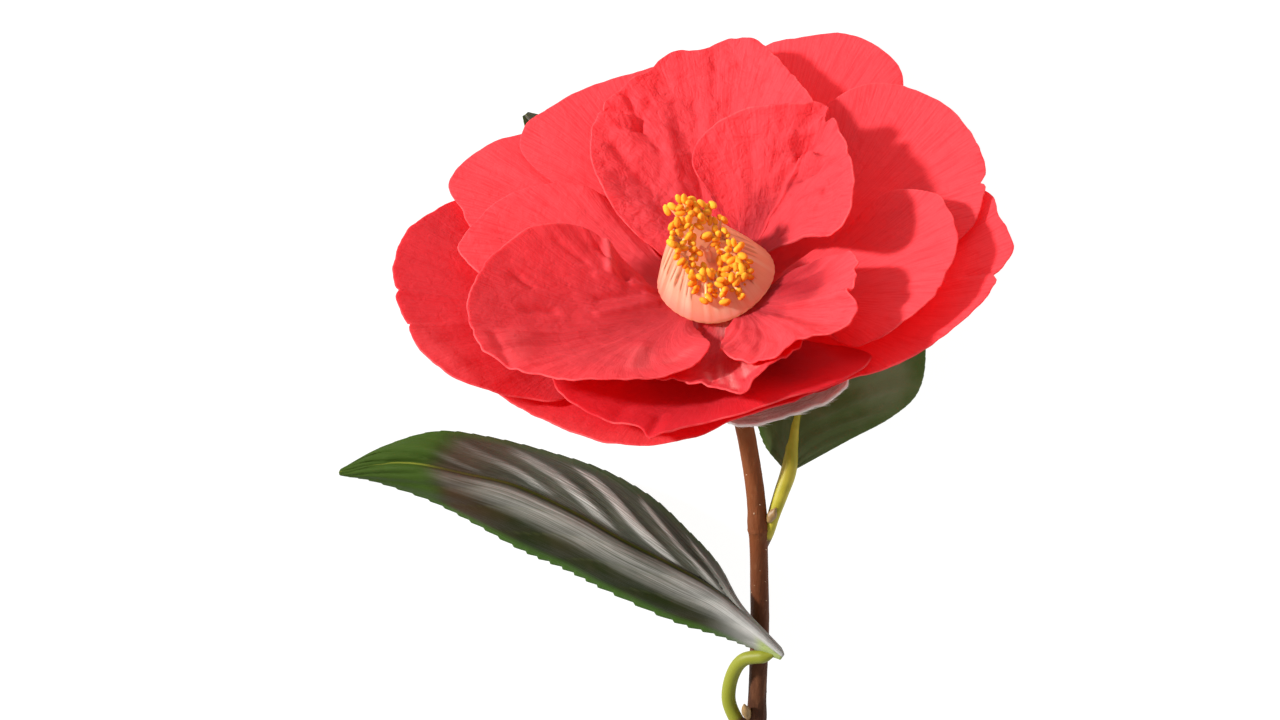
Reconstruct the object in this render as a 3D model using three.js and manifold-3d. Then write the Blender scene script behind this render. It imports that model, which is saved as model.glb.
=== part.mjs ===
// A red camellia flower on its cut, leafy twig, lying down as it rests on a table.
// Millimetres, +Z up. +Y runs along the twig from the cut end to the flower, +X to the flower's right.
// The flower lies on its far rim, and the twig slopes down behind it to its cut end.
// The origin is under the middle of the whole spray, on the table.

import * as THREE from "three";
import { mergeVertices } from "three/addons/utils/BufferGeometryUtils.js";
import Module from "manifold-3d";

const wasm = await Module();
wasm.setup();

// ---------------------------------------------------------------- driving dimensions, mm and degrees

const FLOWER_CENTRE = [12.3, 11, 34]; // where the petals meet, before the spray is centred
const FLOWER_TILT = 50; // the flower's axis, away from straight up
const FLOWER_LEAN = 13; // and turned to the left

const CLAW_RADIUS = 5.2; // ring on which the petals' claws stand
const CLAW_HALF_SPAN = 14; // half a claw's width, degrees round the ring
const PETAL_THICKNESS = 0.5;
const SEPAL_THICKNESS = 0.7;
const LEAF_THICKNESS = 0.5;

const RECEPTACLE_RADIUS = 4.9;
const RECEPTACLE_BOTTOM = -8.2;
const RECEPTACLE_TOP = 0.8;

const COLUMN_RADIUS = 9.6; // swollen foot of the fused filaments
const MOUTH_RADIUS = 5.2; // its mouth, under the anthers
const MOUTH_HEIGHT = 11;
const MOUTH_SLANT = 4.6; // the mouth is this much higher behind and lower in front
const ANTHER_LENGTH = 2.2;

const TWIG_RADIUS = 1.55;
const PETIOLE_RADIUS = 1.15;
const GAP = 0.3; // between pieces that touch

// Each petal is a fan from its claw. seat is the claw's height over the flower's plane, root its
// direction, bend how late the petal turns up, belly how far it bulges up on the way, so that its rim
// levels out, and rim the edge as [direction, reach, height].
const PETALS = {
  petal_01: { seat: 0.8, root: 22, bend: 1.45, rim: [
    [67, 12, 3], [77, 15, 6.8], [86, 18, 11], [86, 21, 12.5], [80, 24, 14], [69, 26, 16],
    [55, 28, 17], [46, 30, 17], [40, 32, 16.5], [33, 30, 16], [18, 27, 16], [358, 25, 16],
    [338, 24, 16], [330, 21, 13.5], [342, 15, 7], [348, 12, 2.6],
  ] },
  petal_02: { seat: 0, root: 82, bend: 1.3, belly: 0.4, rim: [
    [109, 12, 2], [118, 18, 5.5], [123, 23, 9], [122, 27, 11], [116, 33, 12.5],
    [108, 38, 13.5], [99, 42, 14], [93, 44, 14], [88, 47, 14], [83, 47, 14], [79, 48, 14],
    [74, 49, 14], [67, 46, 14], [59, 40, 14], [48, 34, 13.5], [38, 27, 10], [44, 17, 4],
  ] },
  petal_03: { seat: -1, root: 150, bend: 1.2, belly: 1.2, rim: [
    [173, 11, 1.5], [180, 23, 6], [177, 33, 9], [169, 38, 10.5], [162, 41, 11], [153, 40, 11],
    [144, 38, 11], [135, 34, 11], [126, 28, 9], [122, 20, 4], [130, 11, 1],
  ] },
  petal_04: { seat: 0.2, root: 208, bend: 1.5, rim: [
    [252, 13, 2.4], [262, 23, 9], [259, 31, 12], [253, 35, 13.5], [244, 38, 15], [231, 41, 16],
    [219, 43, 16], [209, 43, 16], [197, 41, 16], [187, 38, 16], [175, 33, 16], [162, 26, 15.5],
    [154, 19, 11], [162, 12, 4],
  ] },
  petal_05: { seat: 0.4, root: 306, bend: 1.5, rim: [
    [346, 11, 1.8], [340, 17, 6], [327, 26, 13], [316, 30, 14.5], [308, 32, 15], [305, 35, 14.5],
    [298, 37, 14], [291, 36, 14], [283, 35, 14], [277, 35, 13], [270, 29, 10], [265, 22, 6.5],
    [269, 13, 2.2],
  ] },
  petal_06: { seat: -0.8, root: 270, bend: 1.5, rim: [
    [245, 11, 0.6], [239, 20, 3], [245, 30, 8.5], [253, 34, 11], [262, 37, 12],
    [269, 40, 12.5], [273, 38, 13], [279, 36, 12.5], [286, 32, 10], [298, 24, 4.5],
    [298, 13, 0.8],
  ] },
  petal_07: { seat: -1.4, root: 334, bend: 1.2, rim: [
    [315, 10, -0.5], [305, 30, 4], [307, 36, 7], [313, 39, 9], [321, 41, 10], [331, 41, 10.5],
    [340, 41, 10.5], [352, 39, 10.5], [0, 37, 10], [7, 31, 9], [6, 24, 6], [0, 12, 1.5],
  ] },
  petal_08: { seat: -2.2, root: 18, bend: 1.1, rim: [
    [355, 12, -1], [344, 27, 3], [348, 40, 6], [359, 45, 7.5], [6, 47, 8], [20, 49, 8.5],
    [31, 49, 9.5], [41, 47, 10], [47, 42, 10], [53, 33, 7], [54, 17, 0.5], [44, 10, -1],
  ] },
  petal_09: { seat: -3.4, root: 55, bend: 1, belly: 1, rim: [
    [36, 13, -2], [31, 38, 2.5], [40, 50, 6.5], [43, 53, 8], [50, 56, 9], [57, 57, 9.5],
    [64, 55, 9.5], [70, 54, 8.5], [78, 48, 6], [80, 28, 0.5], [74, 12, -2],
  ] },
  petal_10: { seat: -4.2, root: 328, bend: 1.05, rim: [
    [300, 10, -3.5], [288, 29, -0.5], [299, 35, 2], [306, 40, 4], [317, 44, 5.5],
    [329, 47, 6.5], [337, 48, 6.5], [344, 49, 6.5], [353, 47, 6.5], [3, 46, 6], [14, 40, 4.5],
    [10, 15, -2],
  ] },
  petal_11: { seat: -2, root: 102, bend: 1.05, belly: 0.8, rim: [
    [83, 14, -0.6], [76, 40, 6.5], [77, 50, 9], [82, 52, 10], [93, 49, 10.5], [105, 49, 11],
    [115, 48, 11], [122, 47, 10.5], [127, 41, 8.5], [127, 20, 2],
  ] },
  petal_12: { seat: -3.3, root: 128, bend: 1.05, belly: 1.2, rim: [
    [108, 15, -1], [102, 40, 5.5], [104, 45, 7], [112, 47, 8], [120, 48, 9], [127, 50, 9.5],
    [135, 51, 9.5], [141, 50, 9.5], [145, 46, 8.5], [152, 38, 6.5], [148, 15, -0.8],
  ] },
  petal_13: { seat: -3.8, root: 178, bend: 1.4, rim: [
    [146, 15, -1.8], [138, 42, 4.5], [142, 48.5, 7], [152, 50, 10], [160, 50.5, 12],
    [173, 50.5, 13.5], [186, 49.7, 13.5], [195, 49.6, 12.5], [203, 48, 11.5], [209, 45, 9.5],
    [214, 40.5, 6.5], [219, 34, 3.6], [206, 12, -2],
  ] },
  petal_14: { seat: -4.6, root: 238, bend: 1.1, rim: [
    [200, 10, -4], [190, 32, 1], [200, 41, 4], [214, 41, 4.5], [224, 41, 4.5], [235, 42, 5],
    [246, 42, 5], [258, 40, 5], [269, 37, 5], [283, 36, 4], [290, 31, 2], [270, 9, -4],
  ] },
  petal_15: { seat: -1.9, root: 262, bend: 1.2, rim: [
    [225, 11, -0.5], [211, 29, 5], [220, 37, 8.5], [237, 41, 9], [246, 42, 9], [250, 45, 9.5],
    [258, 42, 9], [268, 41, 9], [281, 40, 8.5], [291, 39, 7], [307, 34, 3.5], [300, 12, -1],
  ] },
};

// One sepal is as long as a petal and cups the flower in front; the other four are short scales.
const LONG_SEPAL = { seat: -5.9, root: 283, bend: 3, rim: [
  [265, 10, -5.8], [259, 23, -5], [265, 31, -2.5], [274, 35, 0.3], [284, 36.5, 1.5],
  [294, 35, 0.5], [304, 30, -2.5], [308, 21, -5], [301, 10, -5.8],
] };
const SHORT_SEPAL_ROOTS = [352, 67, 139, 211];
const SHORT_SEPAL = { seat: -5.9, root: 0, bend: 1.6, rim: [
  [-20, 9, -5.6], [-34, 15, -4.8], [-20, 21, -3.8], [0, 23, -3.4], [20, 21, -3.8],
  [34, 15, -4.8], [20, 9, -5.6],
] };

// Leaves: midrib, the two margins and how far each half arches up. The flower hides the far ends of
// two of them, and all three bend down to the table.
const LEAVES = {
  leaf_left: {
    petiole: [[16.3, -60.6, 4.9], [14.9, -57, 6], [15.5, -52.8, 8], [17.4, -50, 10.4], [21, -49.3, 12.3],
      [23, -48.6, 13.4]],
    midrib: [[24, -49, 14], [18, -43, 15], [12, -38, 15], [5, -34, 14.5], [-3, -30, 14], [-11, -25.5, 13],
      [-21, -21, 11], [-30, -19, 9], [-38, -17.5, 6.5], [-45, -17.7, 3.6], [-51, -19, 0.7]],
    far: [[23.6, -48, 13.8], [17, -41, 12.5], [13, -34, 10.5], [8, -28.5, 9], [2, -23, 8], [-6, -18.5, 7],
      [-15, -15.5, 6.5], [-25, -13, 6], [-34, -12, 5], [-43, -14.5, 2.8], [-50.8, -18.6, 0.7]],
    near: [[23.4, -49.9, 13], [18.6, -48, 11.5], [13, -46, 10], [5, -43.5, 8], [-6, -38.5, 6], [-13, -35, 4.6],
      [-20, -32, 3.4], [-28, -27.5, 2.4], [-36, -23.5, 1.8], [-45, -20.5, 1.3], [-50.9, -19.5, 0.6]],
    arch: [2.2, 3.2],
  },
  leaf_right: {
    petiole: [[22.3, -28.2, 16.8], [22.9, -25.4, 17], [23.7, -22, 16.7], [24.9, -17.5, 16.1]],
    midrib: [[24.6, -18.5, 16.2], [25.4, -12, 16.4], [26.6, -6, 16], [28.4, 1, 14.8], [31, 8, 12.4],
      [34, 15, 8.6], [37, 21.5, 4.6], [39.6, 27, 0.7]],
    far: [[23.6, -17.9, 16], [20.4, -13.5, 14.8], [18.8, -6.5, 13.4], [19, 1, 12.2], [21.5, 9, 10],
      [26, 17, 7], [32.6, 23.5, 3.6], [39.2, 27.3, 0.6]],
    near: [[25.6, -18.2, 15.8], [34.6, -13.4, 13], [42, -9.6, 10], [46.6, -5.4, 8], [48, 1, 6.2],
      [47, 9.5, 4.2], [44.4, 18.5, 2.2], [40, 27.2, 0.6]],
    arch: [1.6, 1.8],
  },
  leaf_back: {
    petiole: [[13.3, -4.9, 22], [11.9, -1.8, 20.2], [10.6, 1.4, 18.4], [9.4, 4.6, 16.2]],
    midrib: [[10, 3.8, 16.8], [6.4, 9, 13.8], [2.6, 14.6, 11.2], [-1.4, 20.4, 9], [-6, 26.4, 7],
      [-10.6, 32, 5], [-15, 37, 2.9], [-19.4, 41.6, 0.7]],
    far: [[10.6, 4.4, 16.6], [11.6, 12, 12.6], [9.4, 19.4, 9.8], [6, 26, 7.8], [0.6, 32.6, 6],
      [-5.6, 37, 4.2], [-12.4, 40.2, 2.4], [-19, 42, 0.6]],
    near: [[9.2, 3.6, 16.6], [0.6, 4.6, 12.6], [-5.6, 9, 9.8], [-10, 15.6, 7.8], [-14, 22.8, 6],
      [-17, 30, 4], [-18.8, 36.4, 2.2], [-19.9, 41.3, 0.6]],
    arch: [1.4, 1.4],
  },
};

// ---------------------------------------------------------------- shapes

const rad = THREE.MathUtils.degToRad;

// A smooth curve through points given as arrays.
const through = (points) =>
  new THREE.CatmullRomCurve3(points.map((p) => new THREE.Vector3(...p)), false, "catmullrom", 0.5);

// A closed body through rings of points. The end rings are closed by a fan, or, where the rings run
// out along one face of a sheet and back along the other, by a strip between the two faces.
function loft(rings, sheet = false) {
  const count = rings[0].length;
  const position = rings.flat().flatMap((p) => p.toArray());
  const index = [];
  for (let i = 0; i + 1 < rings.length; i += 1) {
    for (let j = 0; j < count; j += 1) {
      const a = i * count + j;
      const b = i * count + ((j + 1) % count);
      index.push(a, b, b + count, a, b + count, a + count);
    }
  }
  [0, rings.length - 1].forEach((i) => {
    const first = i * count;
    const faces = [];
    if (sheet) {
      for (let j = 0; j + 1 < count / 2; j += 1) {
        const far = first + count - 1 - j;
        faces.push([first + j, far, far - 1], [first + j, far - 1, first + j + 1]);
      }
    } else {
      const middle = rings[i].reduce((sum, p) => sum.add(p), new THREE.Vector3()).divideScalar(count);
      const centre = position.length / 3;
      position.push(...middle.toArray());
      for (let j = 0; j < count; j += 1) faces.push([centre, first + ((j + 1) % count), first + j]);
    }
    faces.forEach(([a, b, c]) => index.push(...(i === 0 ? [a, b, c] : [a, c, b])));
  });
  const geometry = new THREE.BufferGeometry();
  geometry.setAttribute("position", new THREE.Float32BufferAttribute(position, 3));
  geometry.setIndex(index);
  if (volume(geometry) < 0) {
    for (let i = 0; i < index.length; i += 3) [index[i + 1], index[i + 2]] = [index[i + 2], index[i + 1]];
    geometry.setIndex(index);
  }
  geometry.computeVertexNormals();
  return geometry;
}

// Six times the volume inside a closed geometry, negative when its faces point in.
function volume(geometry) {
  const p = geometry.getAttribute("position");
  const at = (i) => new THREE.Vector3().fromBufferAttribute(p, geometry.index.getX(i));
  let sum = 0;
  for (let i = 0; i < geometry.index.count; i += 3) sum += at(i).dot(at(i + 1).cross(at(i + 2)));
  return sum;
}

// A thin sheet: point(u, v) is its middle surface, thickened along the direction across(u, v).
function sheet(point, across, thickness, alongCount, acrossCount) {
  const rings = [];
  for (let i = 0; i <= alongCount; i += 1) {
    const upper = [];
    const lower = [];
    for (let j = 0; j <= acrossCount; j += 1) {
      const [u, v] = [i / alongCount, j / acrossCount];
      const half = across(u, v).multiplyScalar(thickness / 2);
      upper.push(point(u, v).add(half));
      lower.unshift(point(u, v).sub(half));
    }
    rings.push([...upper, ...lower]);
  }
  return loft(rings, true);
}

// A petal or sepal in the flower's own frame, its claw on the ring and its rim as listed.
function fan({ seat, root, bend, belly = 0, rim }, thickness, alongCount = 6, acrossCount = 18) {
  const turn = (direction) => THREE.MathUtils.euclideanModulo(direction - root + 180, 360) - 180;
  const edge = through(rim.map(([direction, reach, height]) => [turn(direction), reach, height]));
  const side = turn(rim[0][0]) < 0 ? 1 : -1;
  const point = (t, a) => {
    const end = edge.getPoint(a);
    const start = side * (2 * a - 1) * CLAW_HALF_SPAN;
    const angle = rad(root + THREE.MathUtils.lerp(start, end.x, t));
    const reach = THREE.MathUtils.lerp(CLAW_RADIUS, end.y, t);
    const height = THREE.MathUtils.lerp(seat, end.z, t ** bend) + 4 * belly * t * t * (1 - t);
    return new THREE.Vector3(reach * Math.cos(angle), reach * Math.sin(angle), height);
  };
  return sheet(point, () => new THREE.Vector3(0, 0, 1), thickness, alongCount, acrossCount);
}

// A round rod along a curve, with its radius as a function of the way along.
function rod(points, radiusAt, alongCount, sides) {
  const curve = through(points);
  const frames = curve.computeFrenetFrames(alongCount, false);
  const rings = [];
  for (let i = 0; i <= alongCount; i += 1) {
    const t = i / alongCount;
    const centre = curve.getPointAt(t);
    rings.push(Array.from({ length: sides }, (_, j) => {
      const angle = (2 * Math.PI * j) / sides;
      return centre.clone()
        .addScaledVector(frames.normals[i], radiusAt(t) * Math.cos(angle))
        .addScaledVector(frames.binormals[i], radiusAt(t) * Math.sin(angle));
    }));
  }
  return loft(rings);
}

// Joins closed geometries that overlap into one body.
function join(geometries) {
  const solids = geometries.map((geometry) => {
    const bare = geometry.clone();
    bare.deleteAttribute("normal");
    bare.deleteAttribute("uv");
    const merged = mergeVertices(bare, 1e-4);
    return new wasm.Manifold(new wasm.Mesh({
      numProp: 3,
      vertProperties: new Float32Array(merged.getAttribute("position").array),
      triVerts: new Uint32Array(merged.index.array),
    }));
  });
  // Small voids shut in between joined pieces are filled: only the outer skin is kept.
  const skins = solids.reduce((sum, solid) => sum.add(solid)).decompose();
  const mesh = skins.reduce((best, skin) => (skin.volume() > best.volume() ? skin : best)).getMesh();
  const geometry = new THREE.BufferGeometry();
  geometry.setAttribute("position", new THREE.BufferAttribute(mesh.vertProperties, 3));
  geometry.setIndex(new THREE.BufferAttribute(mesh.triVerts, 1));
  geometry.computeVertexNormals();
  return geometry;
}

// ---------------------------------------------------------------- looks

const paint = (color, roughness) => new THREE.MeshStandardMaterial({ color, roughness, metalness: 0 });
const PETAL_RED = "#e8404a";
const SEPAL_GREY = "#a98c88";
const LEAF_GREEN = "#3c4430";
const TWIG_BROWN = "#7a4526";
const FILAMENT_PEACH = "#f6b48c";

const spray = new THREE.Group();
const flower = new THREE.Group();
flower.position.set(...FLOWER_CENTRE);
flower.rotation.set(-rad(FLOWER_TILT), 0, rad(FLOWER_LEAN), "ZXY");
spray.add(flower);

function put(parent, name, geometry, material) {
  const mesh = new THREE.Mesh(geometry, material);
  mesh.name = name;
  parent.add(mesh);
}

// ---------------------------------------------------------------- petals and sepals

for (const [name, petal] of Object.entries(PETALS)) {
  put(flower, name, fan(petal, PETAL_THICKNESS), paint(PETAL_RED, 0.6));
}

put(flower, "sepal_1", fan(LONG_SEPAL, SEPAL_THICKNESS, 8, 14), paint(SEPAL_GREY, 0.7));
SHORT_SEPAL_ROOTS.forEach((root, i) => {
  const rim = SHORT_SEPAL.rim.map(([direction, reach, height]) => [direction + root, reach, height]);
  const sepal = fan({ ...SHORT_SEPAL, root, rim }, SEPAL_THICKNESS, 5, 12);
  put(flower, `sepal_${i + 2}`, sepal, paint(SEPAL_GREY, 0.7));
});

// The knob that carries everything: twig below, scales and petals round it, stamens on top.
put(flower, "receptacle", new THREE.LatheGeometry([
  [0, RECEPTACLE_BOTTOM], [2.2, RECEPTACLE_BOTTOM], [3.6, -7.4], [RECEPTACLE_RADIUS, -6.3],
  [RECEPTACLE_RADIUS, RECEPTACLE_TOP], [0, RECEPTACLE_TOP],
].map(([x, y]) => new THREE.Vector2(x, y)), 20).rotateX(Math.PI / 2), paint("#c98a6a", 0.7));

// ---------------------------------------------------------------- stamens and pistil

// The fused filaments make a stout cup, cut off aslant: high behind, low and flared in front.
{
  const SIDES = 24;
  const FRONT = 272; // direction of the mouth's low side
  const FLOOR_HEIGHT = 6; // bottom of the hollow inside the cup
  const mouth = (angle, inset, drop) => {
    const front = Math.cos(rad(angle - FRONT));
    const reach = MOUTH_RADIUS + 2.6 * Math.max(0, front) ** 2 - inset;
    const height = MOUTH_HEIGHT - MOUTH_SLANT * front - drop;
    return [reach, height];
  };
  const foot = (angle) => 3.7 - 1.7 * Math.max(0, Math.cos(rad(angle - 262))) ** 4;
  const stations = [
    () => [4.4, 1.3],
    (angle) => [7.2, 1.9 * 0.6 + foot(angle) * 0.25],
    (angle) => [COLUMN_RADIUS - 0.6, foot(angle)],
    (angle) => [COLUMN_RADIUS, foot(angle) + 1.4],
    ...[0.25, 0.5, 0.75].map((way) => (angle) => {
      const [reach, height] = mouth(angle, 0, 0);
      const low = foot(angle) + 1.4;
      return [
        THREE.MathUtils.lerp(COLUMN_RADIUS, reach, way) + 0.7 * Math.sin(Math.PI * way),
        THREE.MathUtils.lerp(low, height, way),
      ];
    }),
    (angle) => mouth(angle, 0, 0),
    (angle) => mouth(angle, 1, 0),
    (angle) => mouth(angle, 1.8, 1.5),
    () => [2, FLOOR_HEIGHT],
  ];
  const ring = (station) => Array.from({ length: SIDES }, (_, j) => {
    const angle = (360 * j) / SIDES;
    const [reach, height] = station(angle);
    return new THREE.Vector3(reach * Math.cos(rad(angle)), reach * Math.sin(rad(angle)), height);
  });
  const cup = loft(stations.map(ring));

  // Anthers crowd the mouth in two rows, each standing a little out of line.
  const anthers = [];
  [[22, 0.4, -0.2], [14, 1.7, 0.5]].forEach(([count, inset, drop], row) => {
    for (let i = 0; i < count; i += 1) {
      const angle = (360 * (i + row / 2)) / count;
      const wobble = Math.sin(i * 12.9898 + row * 78.233);
      const [reach, height] = mouth(angle, inset + 0.3 * wobble, drop - 0.4 * Math.cos(i * 5.1));
      const anther = new THREE.SphereGeometry(ANTHER_LENGTH / 2, 5, 3).scale(1, 0.62, 0.8);
      anther.rotateZ(rad(angle + 50 * wobble));
      anther.translate(reach * Math.cos(rad(angle)), reach * Math.sin(rad(angle)), height);
      anthers.push(anther);
    }
  });
  const column = join([cup, ...anthers]).translate(0.5, 0, 0);
  put(flower, "stamen_column", column, paint(FILAMENT_PEACH, 0.6));

  // The style stands in the cup on its ovary and ends in three short stigmas.
  const style = rod([[0, 0, FLOOR_HEIGHT + GAP], [0, 0, 8], [0, 0, 10]], (t) => 1.1 - 0.6 * t, 3, 10);
  const stigmas = [30, 150, 270].map((angle) => {
    const [x, y] = [Math.cos(rad(angle)), Math.sin(rad(angle))];
    return rod([[0, 0, 9.6], [0.4 * x, 0.4 * y, 10.4], [1.1 * x, 1.1 * y, 11]], () => 0.35, 3, 6);
  });
  put(flower, "pistil", join([style, ...stigmas]).translate(0.5, 0, 0), paint("#f2c9a0", 0.6));
}

// ---------------------------------------------------------------- twig and leaves

{
  // The twig leaves the flower along its axis, swells at its two nodes and ends in a straight cut.
  const axis = new THREE.Vector3(0, 0, 1).applyEuler(flower.rotation);
  const top = new THREE.Vector3(...FLOWER_CENTRE).addScaledVector(axis, RECEPTACLE_BOTTOM - GAP);
  const route = [top.toArray(), top.clone().addScaledVector(axis, -3).toArray(), [16, -6, 22.8],
    [17.8, -14, 19.4], [19.4, -25, 15.9], [20, -41, 10.3], [19.9, -51, 7.3], [19.6, -60.5, 4.9],
    [19.4, -69, 3], [19.3, -76, 1.75]];
  const swell = (t, at) => 0.2 * Math.exp(-(((t - at) / 0.022) ** 2));
  const twig = rod(route, (t) => TWIG_RADIUS + swell(t, 0.41) + swell(t, 0.81), 30, 10);
  put(spray, "twig", twig, paint(TWIG_BROWN, 0.7));
}

for (const [name, { petiole, midrib, far, near, arch }] of Object.entries(LEAVES)) {
  const curves = [far, midrib, near].map(through);
  const point = (u, v) => {
    const side = v < 0.5 ? 0 : 1;
    const way = Math.abs(2 * v - 1); // 0 on the midrib, 1 on the margin
    const rib = curves[1].getPoint(u);
    const lift = arch[side] * Math.sin(Math.PI * way) * Math.sin(Math.PI * u);
    return rib.lerp(curves[2 * side].getPoint(u), way).add(new THREE.Vector3(0, 0, lift));
  };
  const step = 0.004;
  const across = (u, v) => {
    const [u0, u1] = [Math.max(0, u - step), Math.min(1, u + step)];
    const [v0, v1] = [Math.max(0, v - step), Math.min(1, v + step)];
    const along = point(u1, v).sub(point(u0, v));
    const normal = along.cross(point(u, v1).sub(point(u, v0))).normalize();
    return normal.multiplyScalar(Math.sign(normal.z) || 1);
  };
  const blade = sheet(point, across, LEAF_THICKNESS, 16, 8);
  const stalk = rod(petiole, (t) => PETIOLE_RADIUS * (1.05 - 0.25 * t), 12, 8);
  put(spray, name, join([blade, stalk]), paint(LEAF_GREEN, 0.45));
}

// ---------------------------------------------------------------- the origin, under the middle

spray.updateMatrixWorld(true);
const box = new THREE.Box3().setFromObject(spray, true);
spray.position.set(-(box.min.x + box.max.x) / 2, -(box.min.y + box.max.y) / 2, -box.min.z);

export default spray;
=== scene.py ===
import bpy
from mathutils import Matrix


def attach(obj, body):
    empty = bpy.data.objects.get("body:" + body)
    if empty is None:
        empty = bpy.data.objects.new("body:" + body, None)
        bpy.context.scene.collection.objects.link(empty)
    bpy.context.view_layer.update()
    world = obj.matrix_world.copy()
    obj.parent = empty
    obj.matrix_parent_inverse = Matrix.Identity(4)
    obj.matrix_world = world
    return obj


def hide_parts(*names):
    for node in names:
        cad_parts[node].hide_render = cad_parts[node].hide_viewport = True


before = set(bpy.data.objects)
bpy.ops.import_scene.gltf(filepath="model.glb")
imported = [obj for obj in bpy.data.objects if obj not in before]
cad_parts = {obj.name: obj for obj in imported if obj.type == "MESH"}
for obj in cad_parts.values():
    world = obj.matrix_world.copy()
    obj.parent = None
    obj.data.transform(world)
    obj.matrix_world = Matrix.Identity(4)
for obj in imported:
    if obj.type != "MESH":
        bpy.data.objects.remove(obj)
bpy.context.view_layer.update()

import math

import bpy
import numpy as np
from mathutils import Vector, noise

# ------------------------------------------------------------------ table, camera and studio light
# The spray lies on a plain white table. The camera hangs straight over it on a long lens. A soft box
# lights it low from the left, and the bright room and table fill the shadows.

LENS = 120
SENSOR_WIDTH = 36
CAMERA_PLACE = (-0.00387, 0.01053, 0.72273)
TABLE_SIDE = 6

camera = bpy.data.objects.new("overhead_camera", bpy.data.cameras.new("overhead_camera"))
camera.data.lens = LENS
camera.data.sensor_width = SENSOR_WIDTH
camera.data.clip_start = 0.01
camera.location = CAMERA_PLACE
bpy.context.scene.collection.objects.link(camera)
bpy.context.scene.camera = camera
bpy.context.scene.view_settings.view_transform = "Standard"


def soft_box(name, aim, toward, distance, size, power):
    """A square studio light that shines on aim from the direction toward."""
    light = bpy.data.objects.new(name, bpy.data.lights.new(name, "AREA"))
    light.data.shape = "SQUARE"
    light.data.size = size
    light.data.energy = power
    place = Vector(toward).normalized() * distance
    light.location = Vector(aim) + place
    light.rotation_euler = place.to_track_quat("Z", "Y").to_euler()
    bpy.context.scene.collection.objects.link(light)


soft_box("key_box", aim=(0.008, 0.02, 0.035), toward=(-0.84, 0.27, 0.46), distance=1.2, size=0.12,
         power=25)


class Wire:
    """A shader socket that is reckoned with like a number."""

    def __init__(self, finish, socket):
        self.finish = finish
        self.socket = socket

    def reckon(self, operation, first, second):
        return self.finish.node("Math", {"operation": operation}, {0: first, 1: second})

    def ease(self, low, high):
        """0 below low, 1 above high, smooth between."""
        return self.finish.node("MapRange", {"interpolation_type": "SMOOTHSTEP"},
                                {"Value": self, "From Min": low, "From Max": high})

    def __add__(self, other):
        return self.reckon("ADD", self, other)

    def __radd__(self, other):
        return self.reckon("ADD", other, self)

    def __sub__(self, other):
        return self.reckon("SUBTRACT", self, other)

    def __rsub__(self, other):
        return self.reckon("SUBTRACT", other, self)

    def __mul__(self, other):
        return self.reckon("MULTIPLY", self, other)

    def __rmul__(self, other):
        return self.reckon("MULTIPLY", other, self)


class Nodes:
    """The shader nodes of a material or a world. node() adds any kind of them."""

    def __init__(self, owner):
        owner.use_nodes = True
        self.tree = owner.node_tree

    def node(self, kind, settings, sockets, out=0):
        """Adds a node: its settings first, then values or wires by socket. Gives its output out."""
        made = self.tree.nodes.new("ShaderNode" + kind)
        for name, value in settings.items():
            if name == "stops":
                ramp = made.color_ramp.elements
                while len(ramp) < len(value):
                    ramp.new(1)
                for stop, (position, colour) in zip(ramp, value):
                    stop.position = position
                    stop.color = (*colour, 1)
            else:
                setattr(made, name, value)
        for name, value in sockets.items():
            if isinstance(value, Wire):
                self.tree.links.new(value.socket, made.inputs[name])
            elif isinstance(value, tuple) and made.inputs[name].type == "RGBA":
                made.inputs[name].default_value = (*value, 1)
            else:
                made.inputs[name].default_value = value
        return Wire(self, made.outputs[out])

    def parts(self, vector):
        """The x, y and z of a vector."""
        x = self.node("SeparateXYZ", {}, {0: vector})
        return [Wire(self, output) for output in x.socket.node.outputs]


class Finish(Nodes):
    """A new material with one Principled shader. Its tone starts as a ground, and colours cover it."""

    def __init__(self, name, **constants):
        self.material = bpy.data.materials.new(name)
        super().__init__(self.material)
        self.shader = self.tree.nodes["Principled BSDF"]
        for socket, value in constants.items():
            self.shader.inputs[socket.replace("_", " ")].default_value = value

    def blend(self, share, low, high):
        """A colour from low to high by share."""
        return self.node("Mix", {"data_type": "RGBA"}, {0: share, 6: low, 7: high}, 2)

    def ground(self, share, low, high):
        """The first tone, from low to high by share."""
        self.tone = self.blend(share, low, high)

    def cover(self, share, colour):
        """Lays a colour over the tone by share."""
        self.tone = self.blend(share, self.tone, colour)

    def feed(self, **wires):
        """Feeds the tone, and other wires by socket name, to the shader."""
        for socket, wire in {"Base_Color": self.tone, **wires}.items():
            self.tree.links.new(wire.socket, self.shader.inputs[socket.replace("_", " ")])

    def let_through(self, share, colour):
        """Lets a share of the light through, tinted, as a thin leaf or petal does."""
        glow = self.node("BsdfTranslucent", {}, {"Color": colour})
        mixed = self.node("MixShader", {}, {0: share, 1: Wire(self, self.shader.outputs[0]), 2: glow})
        self.tree.links.new(mixed.socket, self.tree.nodes["Material Output"].inputs["Surface"])

    def place(self):
        """Object coordinates, in metres."""
        return self.node("TexCoord", {}, {}, "Object")

    def own_map(self):
        """The piece's own map, as the ways across and along it."""
        return self.parts(self.node("UVMap", {"uv_map": "grain"}, {}))[:2]

    def trait(self, name):
        """A number that the piece carries at each of its points or faces."""
        return self.node("Attribute", {"attribute_name": name}, {}, "Fac")

    def vector(self, x, y, z=0):
        return self.node("CombineXYZ", {}, {0: x, 1: y, 2: z})

    def grain(self, vector, scale=1, detail=2, roughness=0.5, distortion=0):
        return self.node("TexNoise", {}, {"Vector": vector, "Scale": scale, "Detail": detail,
                                          "Roughness": roughness, "Distortion": distortion})

    def bump(self, height, distance):
        return self.node("Bump", {}, {"Height": height, "Distance": distance, "Strength": 1.0})


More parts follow.
